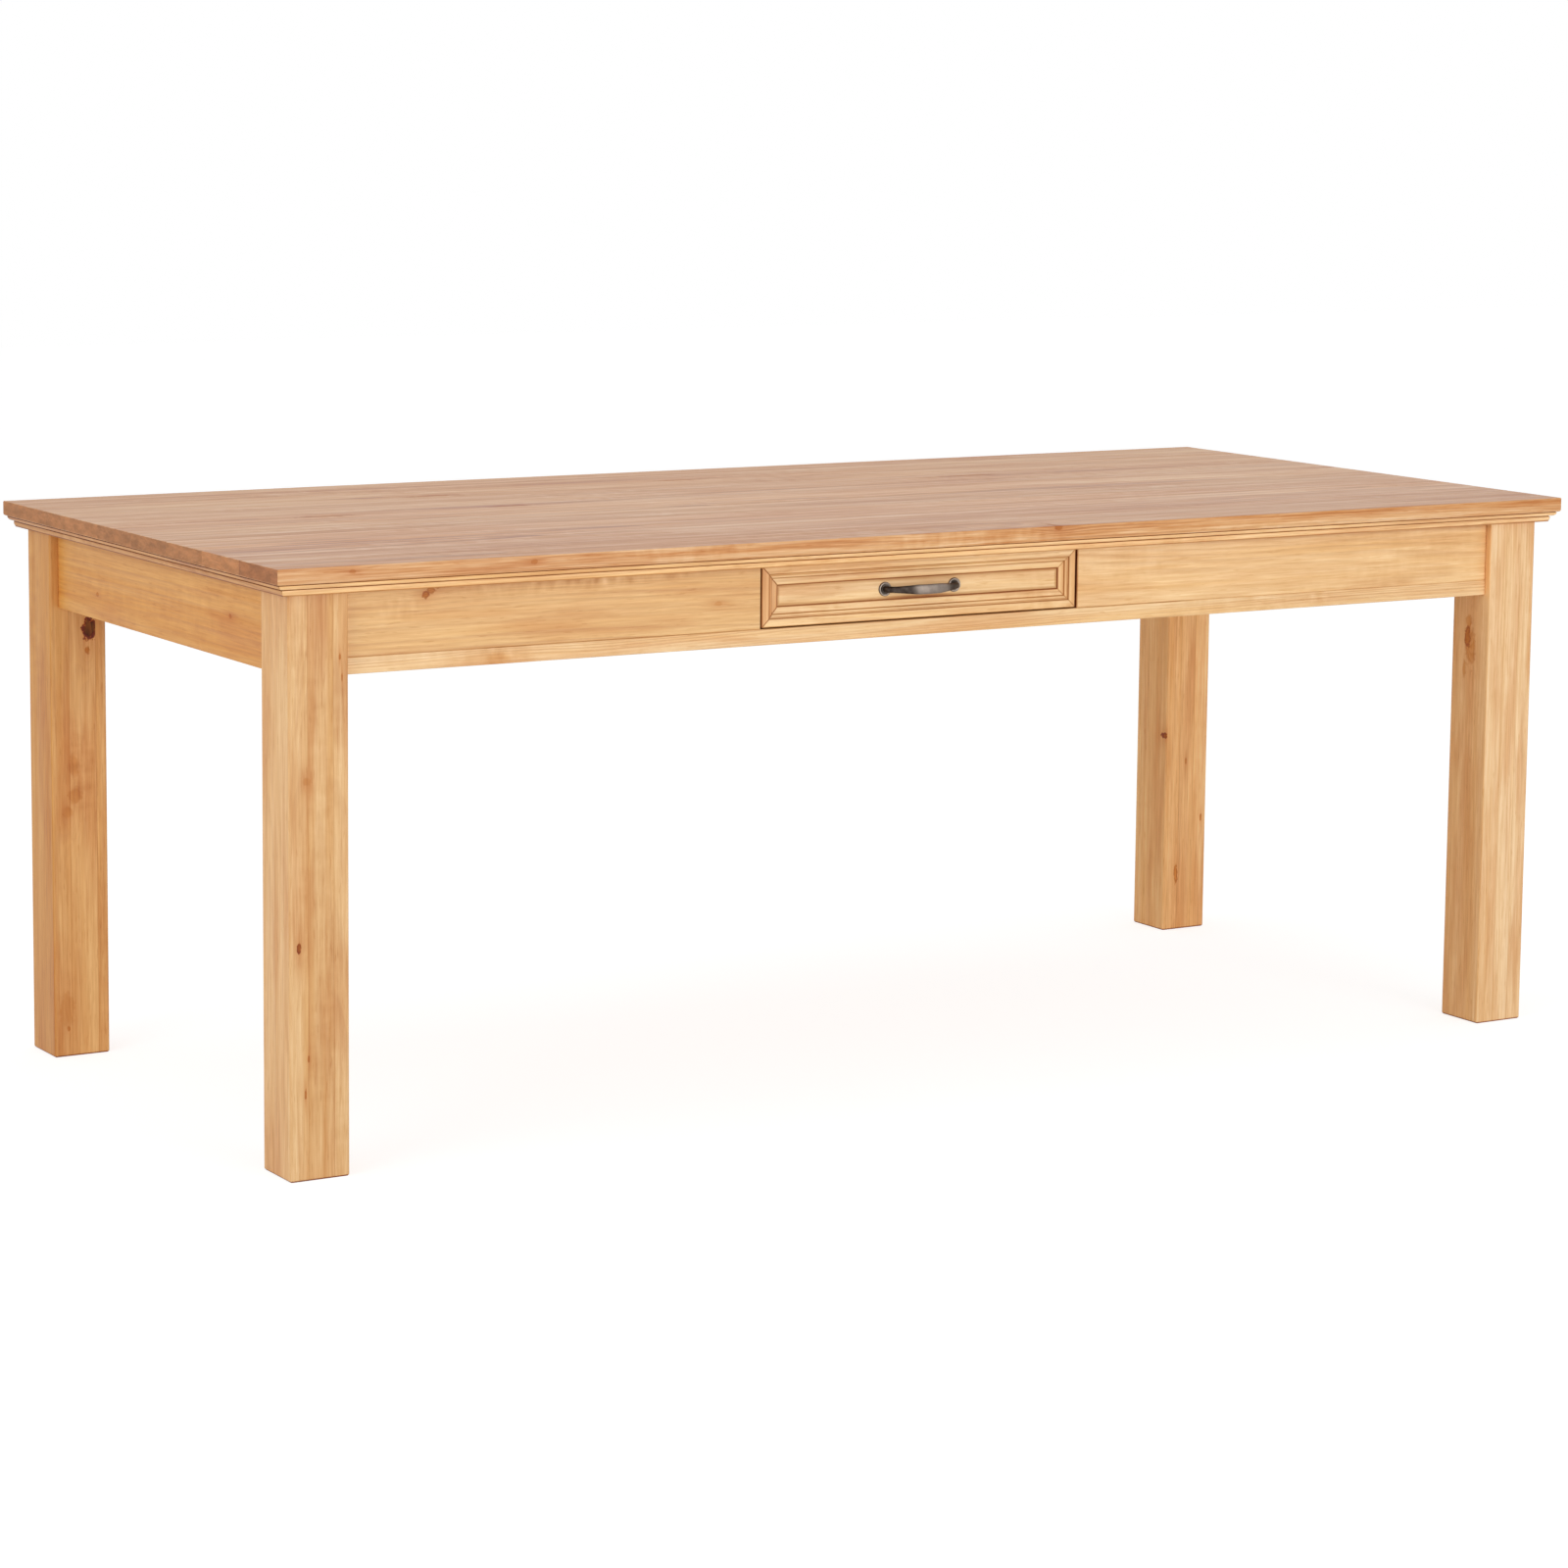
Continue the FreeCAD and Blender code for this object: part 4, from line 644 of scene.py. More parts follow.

# each piece's pine; places are in metres in the table's frame; a flank tint is painted light and shade on a
# leg's side faces
WOODS = {
    "front_apron_left": dict(
        axis="X", pith=(0, 0.06, -0.10), seed=1.0, ring=0.0055, taper=0.005,
        contrast=0.5, streak=1.7, figure=1.3, tint=(0.95, 0.925, 0.87),
        knots=[
            knot((-0.7845, FRONT_Y, 0.7145), 0.0044, "Y", long=1.0, dark=0.55, push=1.4),
            knot((-0.7775, FRONT_Y, 0.7195), 0.0036, "Y", long=1.5, dark=0.4, push=0.8),
            knot((-0.7665, FRONT_Y, 0.7242), 0.0030, "Y", long=2.6, dark=0.4, push=0.6),
            knot((-0.3690, FRONT_Y, 0.6800), 0.0030, "Y", long=2.0, dark=0.12, push=2.0),
        ],
        spots=[
            ((-0.82, FRONT_Y, 0.700), (0.05, 0.05, 0.024), 0.9),
            ((-0.50, FRONT_Y, 0.724), (0.15, 0.05, 0.014), 1.2),
        ],
        seams=[(2, RAIL_TOP, 0.3, 0.0014, 0, -0.70, -0.30)],
    ),
    "front_apron_right": dict(
        axis="X", pith=(0, 0.10, -0.03), seed=2.3,
        contrast=0.6, streak=0.8, figure=0.3, warmth=0.6, pores=0.3, tint=(1.05, 1.09, 1.16),
        # the second line is painted shadow that darkens and widens the gap beside the drawer
        seams=[(2, RAIL_TOP, 0.8, 0.0014, 0, 0.18, 0.36), (0, APRON_EDGE_X, 0.8, 0.0030, 2, 0.60, 0.76)],
    ),
    "front_lower_rail": dict(
        axis="X", pith=(0, 0.04, 0.09), seed=3.1, ring=0.003, figure=0.4, wax=0.15, tint=(1.07, 1.17, 1.34),
        knots=[knot((-0.6850, FRONT_Y, 0.6280), 0.0090, "Y", long=1.8, dark=0.10, push=0.4)],
        spots=[
            ((0.597, FRONT_Y, 0.634), (0.03, 0.05, 0.012), 0.9),
            ((-0.683, FRONT_Y, 0.636), (0.03, 0.05, 0.012), 0.7),
        ],
        seams=[(2, RAIL_TOP, 0.4, 0.0014, 0, -0.70, 0.36)],
    ),
    "front_upper_rail": dict(axis="X", pith=(0, 0.04, 0.09), seed=4.7),
    "back_apron": dict(axis="X", pith=(0, -0.07, 0.02), seed=5.2),
    "left_apron": dict(
        axis="Y", pith=(0.06, 0, -0.10), seed=6.4, ring=0.005,
        contrast=0.3, streak=0.6, figure=0.4, tint=(0.94, 0.715, 0.375),
        knots=[
            knot((END_X, 0.2057, 0.6558), 0.003, "X", long=1.6, dark=0.3),
            knot((END_X, -0.2272, 0.6766), 0.003, "X", long=1.4, dark=0.35),
        ],
    ),
    "right_apron": dict(axis="Y", pith=(-0.06, 0, 0.02), seed=7.9),
    "edge_moulding_front": dict(
        MOULDING, axis="X", pith=(0, 0.05, 0.05), seed=8.5, wax=0.1, tint=(1.18, 1.25, 1.36),
    ),
    "edge_moulding_back": dict(MOULDING, axis="X", pith=(0, 0.05, 0.05), seed=9.1, wax=0.2),
    "edge_moulding_left": dict(
        MOULDING, axis="Y", pith=(0.05, 0, 0.05), seed=10.3,
        contrast=1.3, figure=1.0, wax=0.5, tint=(0.82, 0.67, 0.52), quirks=LEFT_QUIRKS,
    ),
    "edge_moulding_right": dict(MOULDING, axis="Y", pith=(0.05, 0, 0.05), seed=11.9, wax=0.2),
    "leg_front_left": dict(
        LEG, pith=(0.0, 0.02, 0), seed=12.2, ring=0.0034, taper=0.02, wander=0.03,
        contrast=0.3, streak=0.28, figure=0.4, fibre=0.5,
        tint=(0.91, 0.885, 0.86), flank=(1.10, 1.07, 1.04), staves=(-0.950, -0.9156),
        knots=[
            knot((-0.9626, LEG_FRONT_Y, 0.2916), 0.0026, "Y", long=2.6, dark=0.8),
            knot((-0.9066, LEG_FRONT_Y, 0.6464), 0.0012, "Y", long=3.5, dark=0.45),
            knot((-0.9038, LEG_FRONT_Y, 0.6213), 0.0010, "Y", long=5.0, dark=0.35),
            knot((-0.9280, LEG_FRONT_Y, 0.6840), 0.0036, "Y", long=4.0, dark=0.0, push=2.2),
            knot((-0.9502, LEG_FRONT_Y, 0.1526), 0.0014, "Y", long=3.0, dark=0.40, push=0.5),
            knot((-0.9543, LEG_FRONT_Y, 0.1090), 0.0013, "Y", long=4.0, dark=0.50, push=0.5),
            knot((-0.9519, LEG_FRONT_Y, 0.4961), 0.0060, "Y", long=0.8, dark=0.12, push=0.5),
        ],
    ),
    "leg_front_right": dict(
        LEG, seed=13.8, contrast=0.2, streak=0.22, figure=0.15, fibre=0.5,
        tint=(1.05, 1.13, 1.33), flank=(1.02, 0.90, 0.72), staves=(0.923, 0.949),
        knots=[
            knot((INNER_LEG_X, -0.3789, 0.5582), 0.0058, "X", long=2.6, dark=0.60, push=1.6),
            knot((INNER_LEG_X, -0.3860, 0.5450), 0.0100, "X", long=2.6, dark=0.28),
            knot((INNER_LEG_X, -0.3807, 0.5793), 0.0060, "X", long=1.6, dark=0.25),
            knot((INNER_LEG_X, -0.3733, 0.5097), 0.0034, "X", long=3.5, dark=0.25, push=0.6),
        ],
    ),
    "leg_back_left": dict(
        LEG, seed=14.6, contrast=0.2, streak=0.4, figure=0.5, fibre=0.6,
        tint=(0.905, 0.78, 0.595), flank=(0.94, 0.805, 0.525), staves=(-0.949, -0.9105),
        knots=[
            knot((-0.9185, REAR_LEG_Y, 0.5920), 0.0105, "Y", long=1.3, left_of=-0.9105),
            knot((-0.9222, REAR_LEG_Y, 0.5624), 0.0034, "Y", long=1.5, dark=0.40),
            knot((-0.9550, REAR_LEG_Y, 0.0385), 0.0022, "Y", long=1.6, dark=0.35),
            knot((-0.9440, REAR_LEG_Y, 0.4040), 0.0075, "Y", long=2.0, dark=0.16, push=0.6),
            knot((-0.9420, REAR_LEG_Y, 0.3620), 0.0090, "Y", long=1.3, dark=0.20, push=0.6),
            knot((-0.9530, REAR_LEG_Y, 0.3400), 0.0070, "Y", long=1.2, dark=0.16, push=0.6),
            knot((-0.9570, REAR_LEG_Y, 0.0660), 0.0110, "Y", long=2.2, dark=0.13, push=0.6),
        ],
        spots=[((-0.932, REAR_LEG_Y, 0.40), (0.03, 0.05, 0.09), 0.6)],
    ),
    "leg_back_right": dict(
        LEG, seed=15.4, contrast=0.35, streak=0.5, figure=0.15, fibre=0.6,
        # this leg's tint is lighter as painted light, for the light that the top keeps off it
        tint=(1.18, 1.08, 0.98), flank=(1.02, 1.04, 1.01), staves=(0.921, 0.948),
        knots=[
            knot((0.8945, REAR_LEG_Y, 0.3126), 0.0017, "Y", long=2.5, dark=0.8),
            knot((0.9337, REAR_LEG_Y, 0.2700), 0.0020, "Y", long=2.5, dark=0.4),
            knot((0.9652, REAR_LEG_Y, 0.1768), 0.0020, "Y", long=2.5, dark=0.5),
            knot((0.9180, REAR_LEG_Y, 0.0900), 0.0034, "Y", long=4.5, dark=0.45, push=1.6),
        ],
    ),
    "drawer_front_top_rail": dict(
        DRAWER_FRONT, axis="X", pith=(0, 0.04, 0.03), seed=51.2,
        figure=0.3, warmth=1.1, tint=(1.12, 1.24, 1.42), mitres=LEFT_MITRES[1:] + RIGHT_MITRES[1:],
    ),
    "drawer_front_bottom_rail": dict(
        DRAWER_FRONT, axis="X", pith=(0, 0.05, -0.02), seed=52.7,
        figure=0.6, tint=(1.11, 1.21, 1.38), mitres=LEFT_MITRES[:1] + RIGHT_MITRES[:1],
    ),
    "drawer_front_left_stile": dict(
        DRAWER_FRONT, axis="Z", pith=(0.03, 0.05, 0), seed=53.1, tint=(0.98, 0.90, 0.90), mitres=LEFT_MITRES,
    ),
    "drawer_front_right_stile": dict(
        DRAWER_FRONT, axis="Z", pith=(0.03, 0.05, 0), seed=54.6, tint=(1.02, 1.0, 1.0), mitres=RIGHT_MITRES,
    ),
    "drawer_front_panel": dict(
        DRAWER_FRONT, axis="X", pith=(0, 0.08, 0.01), seed=55.9,
        contrast=0.5, figure=0.3, tint=(1.09, 1.22, 1.44),
        # painted shadow of the handle along the panel's lower edge
        seams=[(2, PANEL_EDGE_HANDLE_SHADOW, 0.9, 0.0050, 0, -0.11, -0.01)],
    ),
}

# pieces that share their pine's settings, by the start of their names
FAMILIES = {
    "corner_block": dict(axis="Z", pith=(0.03, 0.05, 0)),
    "top_batten": dict(axis="Y", pith=(0.03, 0, 0.05)),
    "drawer_runner": dict(axis="Y", pith=(0.03, 0, 0.05)),
    "drawer_kicker": dict(axis="Y", pith=(0.03, 0, 0.05)),
    "drawer_stops": dict(axis="X", pith=(0, 0.03, 0.05)),
    "drawer_side": dict(axis="Y", pith=(0.05, 0, 0.01), tint=(1.03, 1.06, 1.12)),
    "drawer_back": dict(axis="X", pith=(0, 0.06, 0.01), tint=(1.03, 1.06, 1.12)),
    "drawer_bottom": dict(axis="X", pith=(0, 0.06, 0.2), tint=(1.04, 1.08, 1.16)),
}


def dress_top():
    """Each board of the top comes from a tree of its own."""
    for number, upper in enumerate(TOP_UPPER_LIGHTS, 1):
        node = f"top_board_{number}"
        lean = BOARD_LEAN * (number if number % 2 == 0 else -number)
        dress(node, pine_material(
            f"{node}_pine", "X", middle_of(node),
            pith=(0, lean, -0.06 - 0.01 * (number % 3)), seed=20.0 + 1.7 * number,
            tint=FRONT_BOARD_TINT if number == 1 else TOP_TINT, upper=upper,
            spots=TOP_CURLS.get(number, ()), knots=TOP_KNOTS.get(number, ()), **TOP_LOOK,
        ))


def dress_wood():
    """The other wooden pieces, by their own name or by the start of it."""
    for count, node in enumerate(sorted(NODES)):
        settings = WOODS.get(node)
        for start, family in FAMILIES.items():
            if settings is None and node.startswith(start):
                settings = dict(family, seed=60.0 + 1.3 * count)
        if settings:
            dress(node, pine_material(f"{node}_pine", middle=middle_of(node), **settings))


# ---------------------------------------------------------------- metals
CAST_DEPTH = 0.0002


def metal_material(name, dark, pale, roughness, scale, wear_and_sheen=None):
    """Worn metal. The last argument gives, from the graph and the place's X, Y and Z, how pale it is: rubbed
    bare on a rosette, and a painted reflection with painted shade on the bow.
    """
    material, g = new_material(name)
    spot = g.node("ShaderNodeTexCoord").outputs["Object"]
    patina_wear_and_sheen = g.step(g.noise(g.vector("SCALE", spot, scale=scale), detail=4.0, roughness=0.6), 0.3, 0.7)
    fine = g.noise(g.vector("SCALE", spot, scale=scale * 8), detail=2.0)
    if wear_and_sheen:
        # on the bow this is painted reflection and shade; on the rosettes, wear
        patina_wear_and_sheen = g.times_plus(patina_wear_and_sheen, 0.25, g.times(wear_and_sheen(g, g.split(spot)), 0.75))
    shader = g.node("ShaderNodeBsdfPrincipled")
    shader.inputs["Metallic"].default_value = 1.0
    g.feed(shader.inputs["Base Color"], g.mix(patina_wear_and_sheen, dark, pale))
    g.feed(shader.inputs["Roughness"], g.times_plus(fine, 0.3, roughness - 0.15))
    bump = g.node("ShaderNodeBump")
    bump.inputs["Strength"].default_value = 0.5
    bump.inputs["Distance"].default_value = CAST_DEPTH
    g.feed(bump.inputs["Height"], fine)
    g.feed(shader.inputs["Normal"], bump.outputs[0])
    show(g, shader)
    return material


PEWTER_DARK = linear(46, 36, 31)
PEWTER_PALE_SHEEN = linear(140, 128, 119)
PEWTER_RIM = linear(160, 147, 136)
ZINC = metal_material("zinc_steel", linear(150, 148, 140), linear(190, 190, 186), 0.35, 60.0)


# ---------------------------------------------------------------- meshes made here
UP = Vector((0, 0, 1))
SHARP_ANGLE = math.radians(40)


def add_piece(name, vertices, faces, material, body):
    """A mesh object that rides on a body of the frame."""
    mesh = bpy.data.meshes.new(name)
    mesh.from_pydata(vertices, [], faces)
    mesh.materials.append(material)
    mesh.shade_smooth()
    mesh.set_sharp_from_angle(angle=SHARP_ANGLE)
    made = bpy.data.objects.new(name, mesh)
    bpy.context.scene.collection.objects.link(made)
    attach(made, body)
    return made


def tube(rings):
    """Vertices and faces of a skin over rings of points, closed at both ends."""
    sides = len(rings[0])
    vertices = [tuple(point) for ring in rings for point in ring]
    faces = []
    for row in range(len(rings) - 1):
        near = row * sides
        far = near + sides
        for k in range(sides):
            following = (k + 1) % sides
            faces.append((near + k, near + following, far + following, far + k))
    faces.append(tuple(range(sides))[::-1])
    faces.append(tuple(range((len(rings) - 1) * sides, len(rings) * sides)))
    return vertices, faces


def turns(count):
    """Angles all round a circle."""
    return [2 * math.pi * k / count for k in range(count)]


def square_to(axis):
    """Two directions square to axis and to each other."""
    first = axis.orthogonal().normalized()
    return first, axis.cross(first)


def lathe(profile, sides, base, axis):
    """Turn a profile of (radius, height) about axis through base. Its ends are closed."""
    first, second = square_to(axis)
    rings = []
    for radius, height in profile:
        middle = base + axis * height
        rings.append([middle + (first * math.cos(t) + second * math.sin(t)) * radius for t in turns(sides)])
    return tube(rings)


def gather(meshes):
    """Several (vertices, faces) as one."""
    vertices, faces = [], []
    for points, polygons in meshes:
        start = len(vertices)
        vertices.extend(points)
        faces.extend(tuple(start + k for k in polygon) for polygon in polygons)
    return vertices, faces


# ---------------------------------------------------------------- the drawer's handle
PANEL_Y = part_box("drawer_front_panel")[0].y
HANDLE_LOW, HANDLE_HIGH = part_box("bow_handle")
HANDLE_CENTRE = (HANDLE_LOW + HANDLE_HIGH) / 2
POST_REACH = 0.054
BOW_SIDES = 28
BOW_STEPS = 48
POST_RADIUS = 0.004
BOW_OUT = HANDLE_LOW.y + 0.0023
BOW_IN = PANEL_Y - 0.0085
GRIP_HALF = (HANDLE_HIGH.z - HANDLE_LOW.z) / 2
BOW_END_HALF = 0.0040
BOW_THICK = 0.0021
BOW_END_THICK = 0.0031
BOW_START = 0.045
POST_LINE = (
    # aside of the post's middle, out from the panel, half height, half thickness
    (0.0, 0.0026, POST_RADIUS, POST_RADIUS),
    (0.0, 0.0045, POST_RADIUS, POST_RADIUS),
    (-0.0003, 0.0062, POST_RADIUS, POST_RADIUS),
    (0.0004, 0.0079, 0.0042, 0.0036),
)
ROSETTE_SIDES = 56
ROSETTE_PROFILE = (
    # radius, height over the panel
    (0.0093, 0.0), (0.0095, 0.0009), (0.0093, 0.0017), (0.0087, 0.0023), (0.0079, 0.0025), (0.0072, 0.0022),
    (0.0065, 0.0017), (0.0055, 0.0015), (0.0046, 0.0016), (0.0042, 0.0020), (0.0040, 0.0025),
)


def bow_path(share):
    """Where the bow's centre line is, from its left post (0) to its right post (1)."""
    rise = BOW_IN - BOW_OUT
    radius = (POST_REACH ** 2 + rise ** 2) / (2 * rise)
    half = math.asin(POST_REACH / radius)
    turn = (2 * share - 1) * half
    out = BOW_OUT + radius * (1 - math.cos(turn))
    return Vector((HANDLE_CENTRE.x + radius * math.sin(turn), out, HANDLE_CENTRE.z))


def bow_line():
    """The bow's centre line from post to post, each place with its half height and half thickness."""
    line = []
    for aside, out, tall, thick in POST_LINE:
        place = Vector((HANDLE_CENTRE.x - POST_REACH + aside, PANEL_Y - out, HANDLE_CENTRE.z))
        line.append((place, tall, thick))
    for k in range(BOW_STEPS + 1):
        share = BOW_START + (1 - 2 * BOW_START) * k / BOW_STEPS
        middle = 1 - abs(2 * share - 1)
        swell = middle * middle * (3 - 2 * middle)
        tall = BOW_END_HALF + (GRIP_HALF - BOW_END_HALF) * min(1.0, swell * 1.25)
        thick = BOW_END_THICK + (BOW_THICK - BOW_END_THICK) * min(1.0, middle * 3)
        line.append((bow_path(share), tall, thick))
    for place, tall, thick in line[len(POST_LINE) - 1::-1]:
        line.append((Vector((2 * HANDLE_CENTRE.x - place.x, place.y, place.z)), tall, thick))
    return line


def bow_rings():
    """Rings of points from the left post, along the bow, to the right post."""
    line = bow_line()
    rings = []
    for k, (centre, tall, thick) in enumerate(line):
        before = line[max(k - 1, 0)][0]
        after = line[min(k + 1, len(line) - 1)][0]
        outwards = UP.cross((after - before).normalized())
        ring = []
        for turn in turns(BOW_SIDES):
            flat = abs(math.cos(turn)) ** 0.75 * math.copysign(1, math.cos(turn))
            ring.append(centre + outwards * thick * math.sin(turn) + UP * tall * flat)
        rings.append(ring)
    return rings


def bow_sheen_and_shade(g, parts):
    """Painted reflection and shade on the bow: pale on the grip, and dark towards its posts, most of all the
    left one.
    """
    off = g.minus(parts[0], HANDLE_CENTRE.x)
    left = g.step(off, -0.027, -0.015)
    right = g.step(off, 0.026, 0.040, 1.0, 0.12)
    return g.times(left, right)


def rub_rosette(g, parts):
    """A rosette is bare inside its rim, and dark in its dish and round its edge."""
    off = g.minus(g.math("ABSOLUTE", g.minus(parts[0], HANDLE_CENTRE.x)), POST_REACH)
    up = g.minus(parts[2], HANDLE_CENTRE.z)
    out = g.vector("LENGTH", g.join(off, up, 0.0))
    return g.times(g.step(out, 0.0056, 0.0068), g.step(out, 0.0086, 0.0094, 1.0, 0.3))


def add_handle():
    """The bow and its two rosettes, with rounded edges, in place of their plain CAD shapes."""
    bow_metal = metal_material("pewter_bow", PEWTER_DARK, PEWTER_PALE_SHEEN, 0.55, 90.0, bow_sheen_and_shade)
    rosette_metal = metal_material("pewter_rosette", PEWTER_DARK, PEWTER_RIM, 0.42, 90.0, rub_rosette)
    vertices, faces = tube(bow_rings())
    bow = add_piece("bow_handle_cast", vertices, faces, bow_metal, "drawer")
    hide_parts("bow_handle")
    plates = []
    for side in (-1, 1):
        base = Vector((HANDLE_CENTRE.x + side * POST_REACH, PANEL_Y, HANDLE_CENTRE.z))
        plates.append(lathe(ROSETTE_PROFILE, ROSETTE_SIDES, base, Vector((0, -1, 0))))
    vertices, faces = gather(plates)
    rosettes = add_piece("handle_rosettes_cast", vertices, faces, rosette_metal, "drawer")
    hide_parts("handle_rosettes")


# ---------------------------------------------------------------- screws
SCREW_SIDES = 24
SCREW_RADIUS = 0.0038
SCREW_RISE = 0.0012
SCREW_RINGS = (1.0, 0.97, 0.88, 0.72, 0.60, 0.50, 0.40, 0.30, 0.20, 0.12)
SLOT_HALF = 0.00055
SLOT_SHARE = 0.65
DOWN = (0, 0, -1)

# the steel angles: their thickness, how far along an arm its two screws are, how far those are
# from the angle's middle, and where the angles are on the long and on the short aprons
ANGLE_STEEL = 0.0025
ANGLE_HOLE = 0.0174
ANGLE_SPREAD = 0.011
LONG_ANGLES = 0.495
SHORT_ANGLES = 0.18

# the other screws: how far they are from the middle of their piece or its face, and how far
# those of the drawer's bottom are in from its back edge
BATTEN_SCREWS = (-0.324, -0.108, 0.108, 0.324)
BLOCK_SCREWS_ASIDE = 0.046
BLOCK_SCREWS_UP = 0.022
BOTTOM_SCREWS = (-0.18, 0.0, 0.18)
BOTTOM_SCREW_INSET = 0.006


def screw_head(place, axis):
    """A countersunk head with a cross cut into it, standing SCREW_RISE proud of place."""
    axis = Vector(axis).normalized()
    first, second = square_to(axis)
    rings = []
    for share in SCREW_RINGS:
        ring = []
        for turn in turns(SCREW_SIDES):
            aside = share * SCREW_RADIUS * math.cos(turn)
            up = share * SCREW_RADIUS * math.sin(turn)
            cut = share < SLOT_SHARE and min(abs(aside), abs(up)) < SLOT_HALF
            height = SCREW_RISE * (1 - 0.8 * share ** 4) - (SCREW_RISE if cut else 0)
            ring.append(Vector(place) + first * aside + second * up + axis * height)
        rings.append(ring)
    return tube(rings)


def angle_screws():
    """Two screws in each arm of each steel angle, as (place, axis)."""
    low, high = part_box("top_brackets")
    screws = []
    for side, wall_x, wall_y in ((-1, low.x, low.y), (1, high.x, high.y)):
        for along in (-LONG_ANGLES, LONG_ANGLES):
            for off in (-ANGLE_SPREAD, ANGLE_SPREAD):
                place = along + off
                screws.append(((place, wall_y - side * ANGLE_STEEL, high.z - ANGLE_HOLE), (0, -side, 0)))
                screws.append(((place, wall_y - side * ANGLE_HOLE, high.z - ANGLE_STEEL), DOWN))
        for along in (-SHORT_ANGLES, SHORT_ANGLES):
            for off in (-ANGLE_SPREAD, ANGLE_SPREAD):
                place = along + off
                screws.append(((wall_x - side * ANGLE_STEEL, place, high.z - ANGLE_HOLE), (-side, 0, 0)))
                screws.append(((wall_x - side * ANGLE_HOLE, place, high.z - ANGLE_STEEL), DOWN))
    return screws


def batten_screws():
    """Screws through the battens, up into the boards of the top."""
    screws = []
    for node in ("top_batten_left", "top_batten_right"):
        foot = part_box(node)[0].z
        middle = middle_of(node)
        screws += [((middle.x, middle.y + off, foot), DOWN) for off in BATTEN_SCREWS]
    return screws


def block_face(block, inwards):
    """The middle of a corner block's inner face, where the washer of its hanger bolt lies."""
    corners = [vertex.co for vertex in NODES[block].data.vertices]
    reach = max(corner.dot(inwards) for corner in corners)
    face = [corner for corner in corners if corner.dot(inwards) > reach - 0.001]
    return sum(face, Vector()) / len(face)


def block_screws():
    """Four screws in the inner face of each corner block."""
    screws = []
    for end, inwards_y in (("front", 1), ("back", -1)):
        for side, inwards_x in (("left", 1), ("right", -1)):
            block = f"corner_block_{end}_{side}"
            inwards = Vector((inwards_x, inwards_y, 0))
            face = block_face(block, inwards)
            height = middle_of(block).z
            for aside in (-BLOCK_SCREWS_ASIDE, BLOCK_SCREWS_ASIDE):
                place = face + Vector((-inwards_y, inwards_x, 0)).normalized() * aside
                for up in (-BLOCK_SCREWS_UP, BLOCK_SCREWS_UP):
                    screws.append(((place.x, place.y, height + up), tuple(inwards)))
    return screws


def bottom_screws():
    """Screws through the drawer's bottom into its back."""
    low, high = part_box("drawer_bottom")
    middle = (low.x + high.x) / 2
    return [((middle + off, high.y - BOTTOM_SCREW_INSET, low.z), DOWN) for off in BOTTOM_SCREWS]


def add_screws():
    """Heads of the wood screws in the steel angles, battens, corner blocks and drawer bottom."""
    screws = {
        "bracket_screws": angle_screws(), "batten_screws": batten_screws(), "block_screws": block_screws(),
        "drawer_bottom_screws": bottom_screws(),
    }
    for name, places in screws.items():
        vertices, faces = gather([screw_head(place, axis) for place, axis in places])
        body = "drawer" if name.startswith("drawer") else "table"
        add_piece(name, vertices, faces, ZINC, body)


# ---------------------------------------------------------------- floor and light
FLOOR_HALF = 14.0
PAPER = (0.85, 0.85, 0.85, 1)
SEEN_PAPER = (0.45, 0.45, 0.45, 1)
SEEN_GLOW = 0.76
WORLD_LIGHT = 0.54
LAMPS = (
    # name, place, what it points at, width, height, watts
    ("key_softbox", (0.8, -5.2, 1.05), (0.1, 0, 0.45), 2.8, 1.6, 87),
    ("fill_softbox", (-4.0, -1.6, 1.5), (-0.6, 0, 0.5), 2.0, 1.8, 36),
    ("top_softbox", (0.0, 0.3, 3.4), (0, 0.1, 0.7), 2.6, 2.0, 17),
)


def seen_directly(g):
    """1 for camera, mirror and glass rays, which see the white background."""
    path = g.node("ShaderNodeLightPath").outputs
    seen = g.math("MAXIMUM", path["Is Camera Ray"], path["Is Glossy Ray"])
    return g.math("MAXIMUM", seen, path["Is Transmission Ray"])


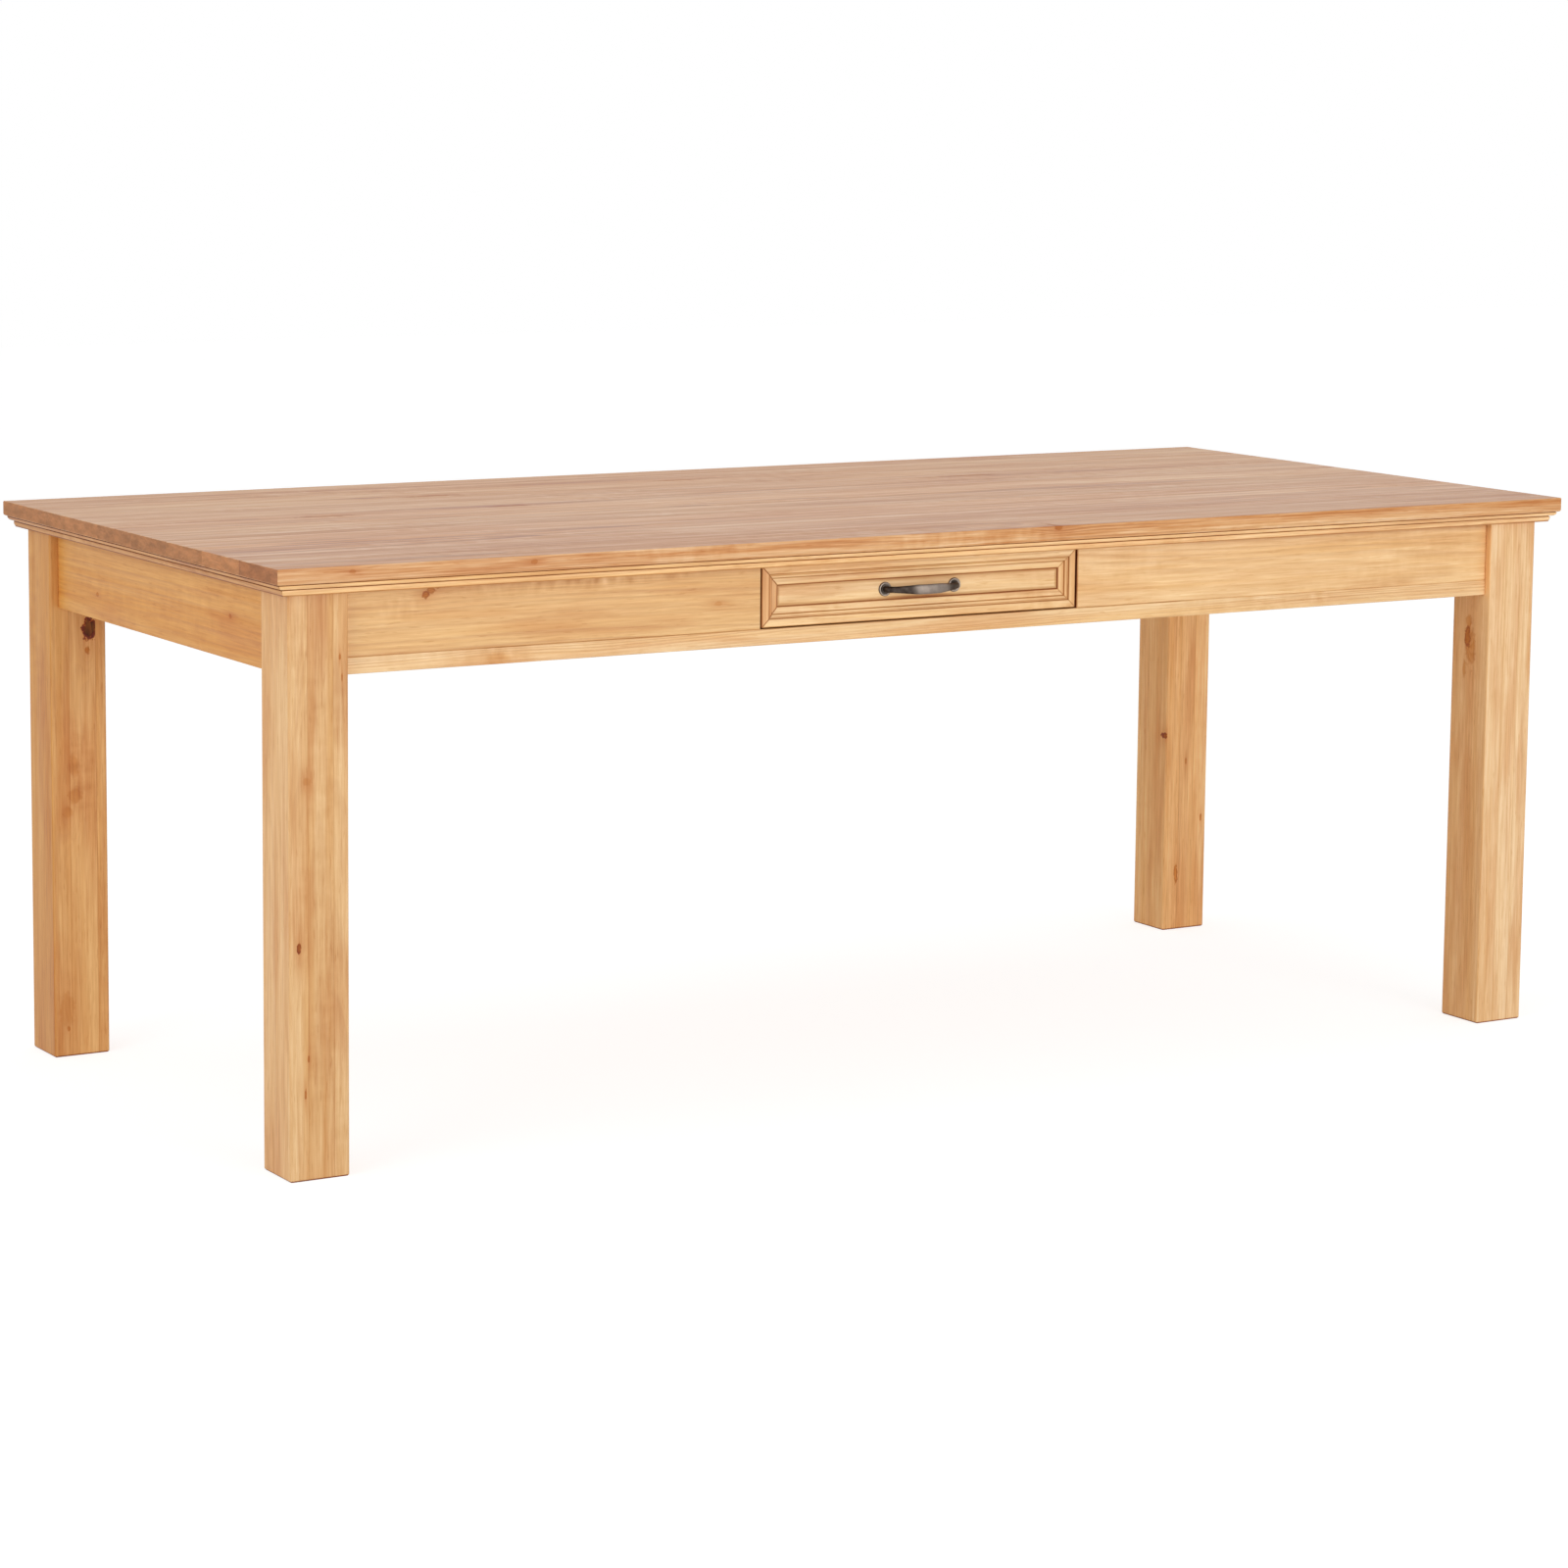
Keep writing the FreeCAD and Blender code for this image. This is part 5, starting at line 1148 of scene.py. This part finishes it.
def add_floor():
    mesh = bpy.data.meshes.new("studio_floor")
    half = FLOOR_HALF
    corners = [(-half, -half, 0), (half, -half, 0), (half, half, 0), (-half, half, 0)]
    mesh.from_pydata(corners, [], [(0, 1, 2, 3)])
    floor = bpy.data.objects.new("studio_floor", mesh)
    bpy.context.scene.collection.objects.link(floor)
    material, g = new_material("studio_paper")
    paper = g.node("ShaderNodeBsdfDiffuse")
    paper.inputs["Color"].default_value = PAPER
    seen_paper = g.node("ShaderNodeBsdfDiffuse")
    seen_paper.inputs["Color"].default_value = SEEN_PAPER
    glow = g.node("ShaderNodeEmission")
    glow.inputs["Color"].default_value = (1, 1, 1, 1)
    glow.inputs["Strength"].default_value = SEEN_GLOW
    white = g.node("ShaderNodeAddShader")
    g.feed(white.inputs[0], seen_paper.outputs[0])
    g.feed(white.inputs[1], glow.outputs[0])
    choice = g.node("ShaderNodeMixShader")
    g.feed(choice.inputs[0], seen_directly(g))
    g.feed(choice.inputs[1], paper.outputs[0])
    g.feed(choice.inputs[2], white.outputs[0])
    show(g, choice)
    mesh.materials.append(material)


def add_world():
    world = bpy.data.worlds.new("studio")
    world.use_nodes = True
    bpy.context.scene.world = world
    g = Graph(world.node_tree)
    g.tree.nodes.clear()
    back = g.node("ShaderNodeBackground")
    back.inputs["Color"].default_value = (1, 1, 1, 1)
    g.feed(back.inputs["Strength"], g.times_plus(seen_directly(g), 1.0 - WORLD_LIGHT, WORLD_LIGHT))
    g.feed(g.node("ShaderNodeOutputWorld").inputs["Surface"], back.outputs[0])


def add_lamp(name, place, target, width, height, power):
    data = bpy.data.lights.new(name, "AREA")
    data.shape = "RECTANGLE"
    data.size = width
    data.size_y = height
    data.energy = power
    lamp = bpy.data.objects.new(name, data)
    bpy.context.scene.collection.objects.link(lamp)
    lamp.location = place
    lamp.rotation_euler = (Vector(target) - Vector(place)).to_track_quat("-Z", "Y").to_euler()


add_camera()
add_floor()
add_world()
for lamp in LAMPS:
    add_lamp(*lamp)
dress_top()
dress_wood()
for node in ("handle_screws", "hanger_bolts", "bolt_washers", "bolt_nuts", "top_brackets"):
    dress(node, ZINC)
add_handle()
add_screws()

bpy.context.scene.view_settings.view_transform = "Standard"
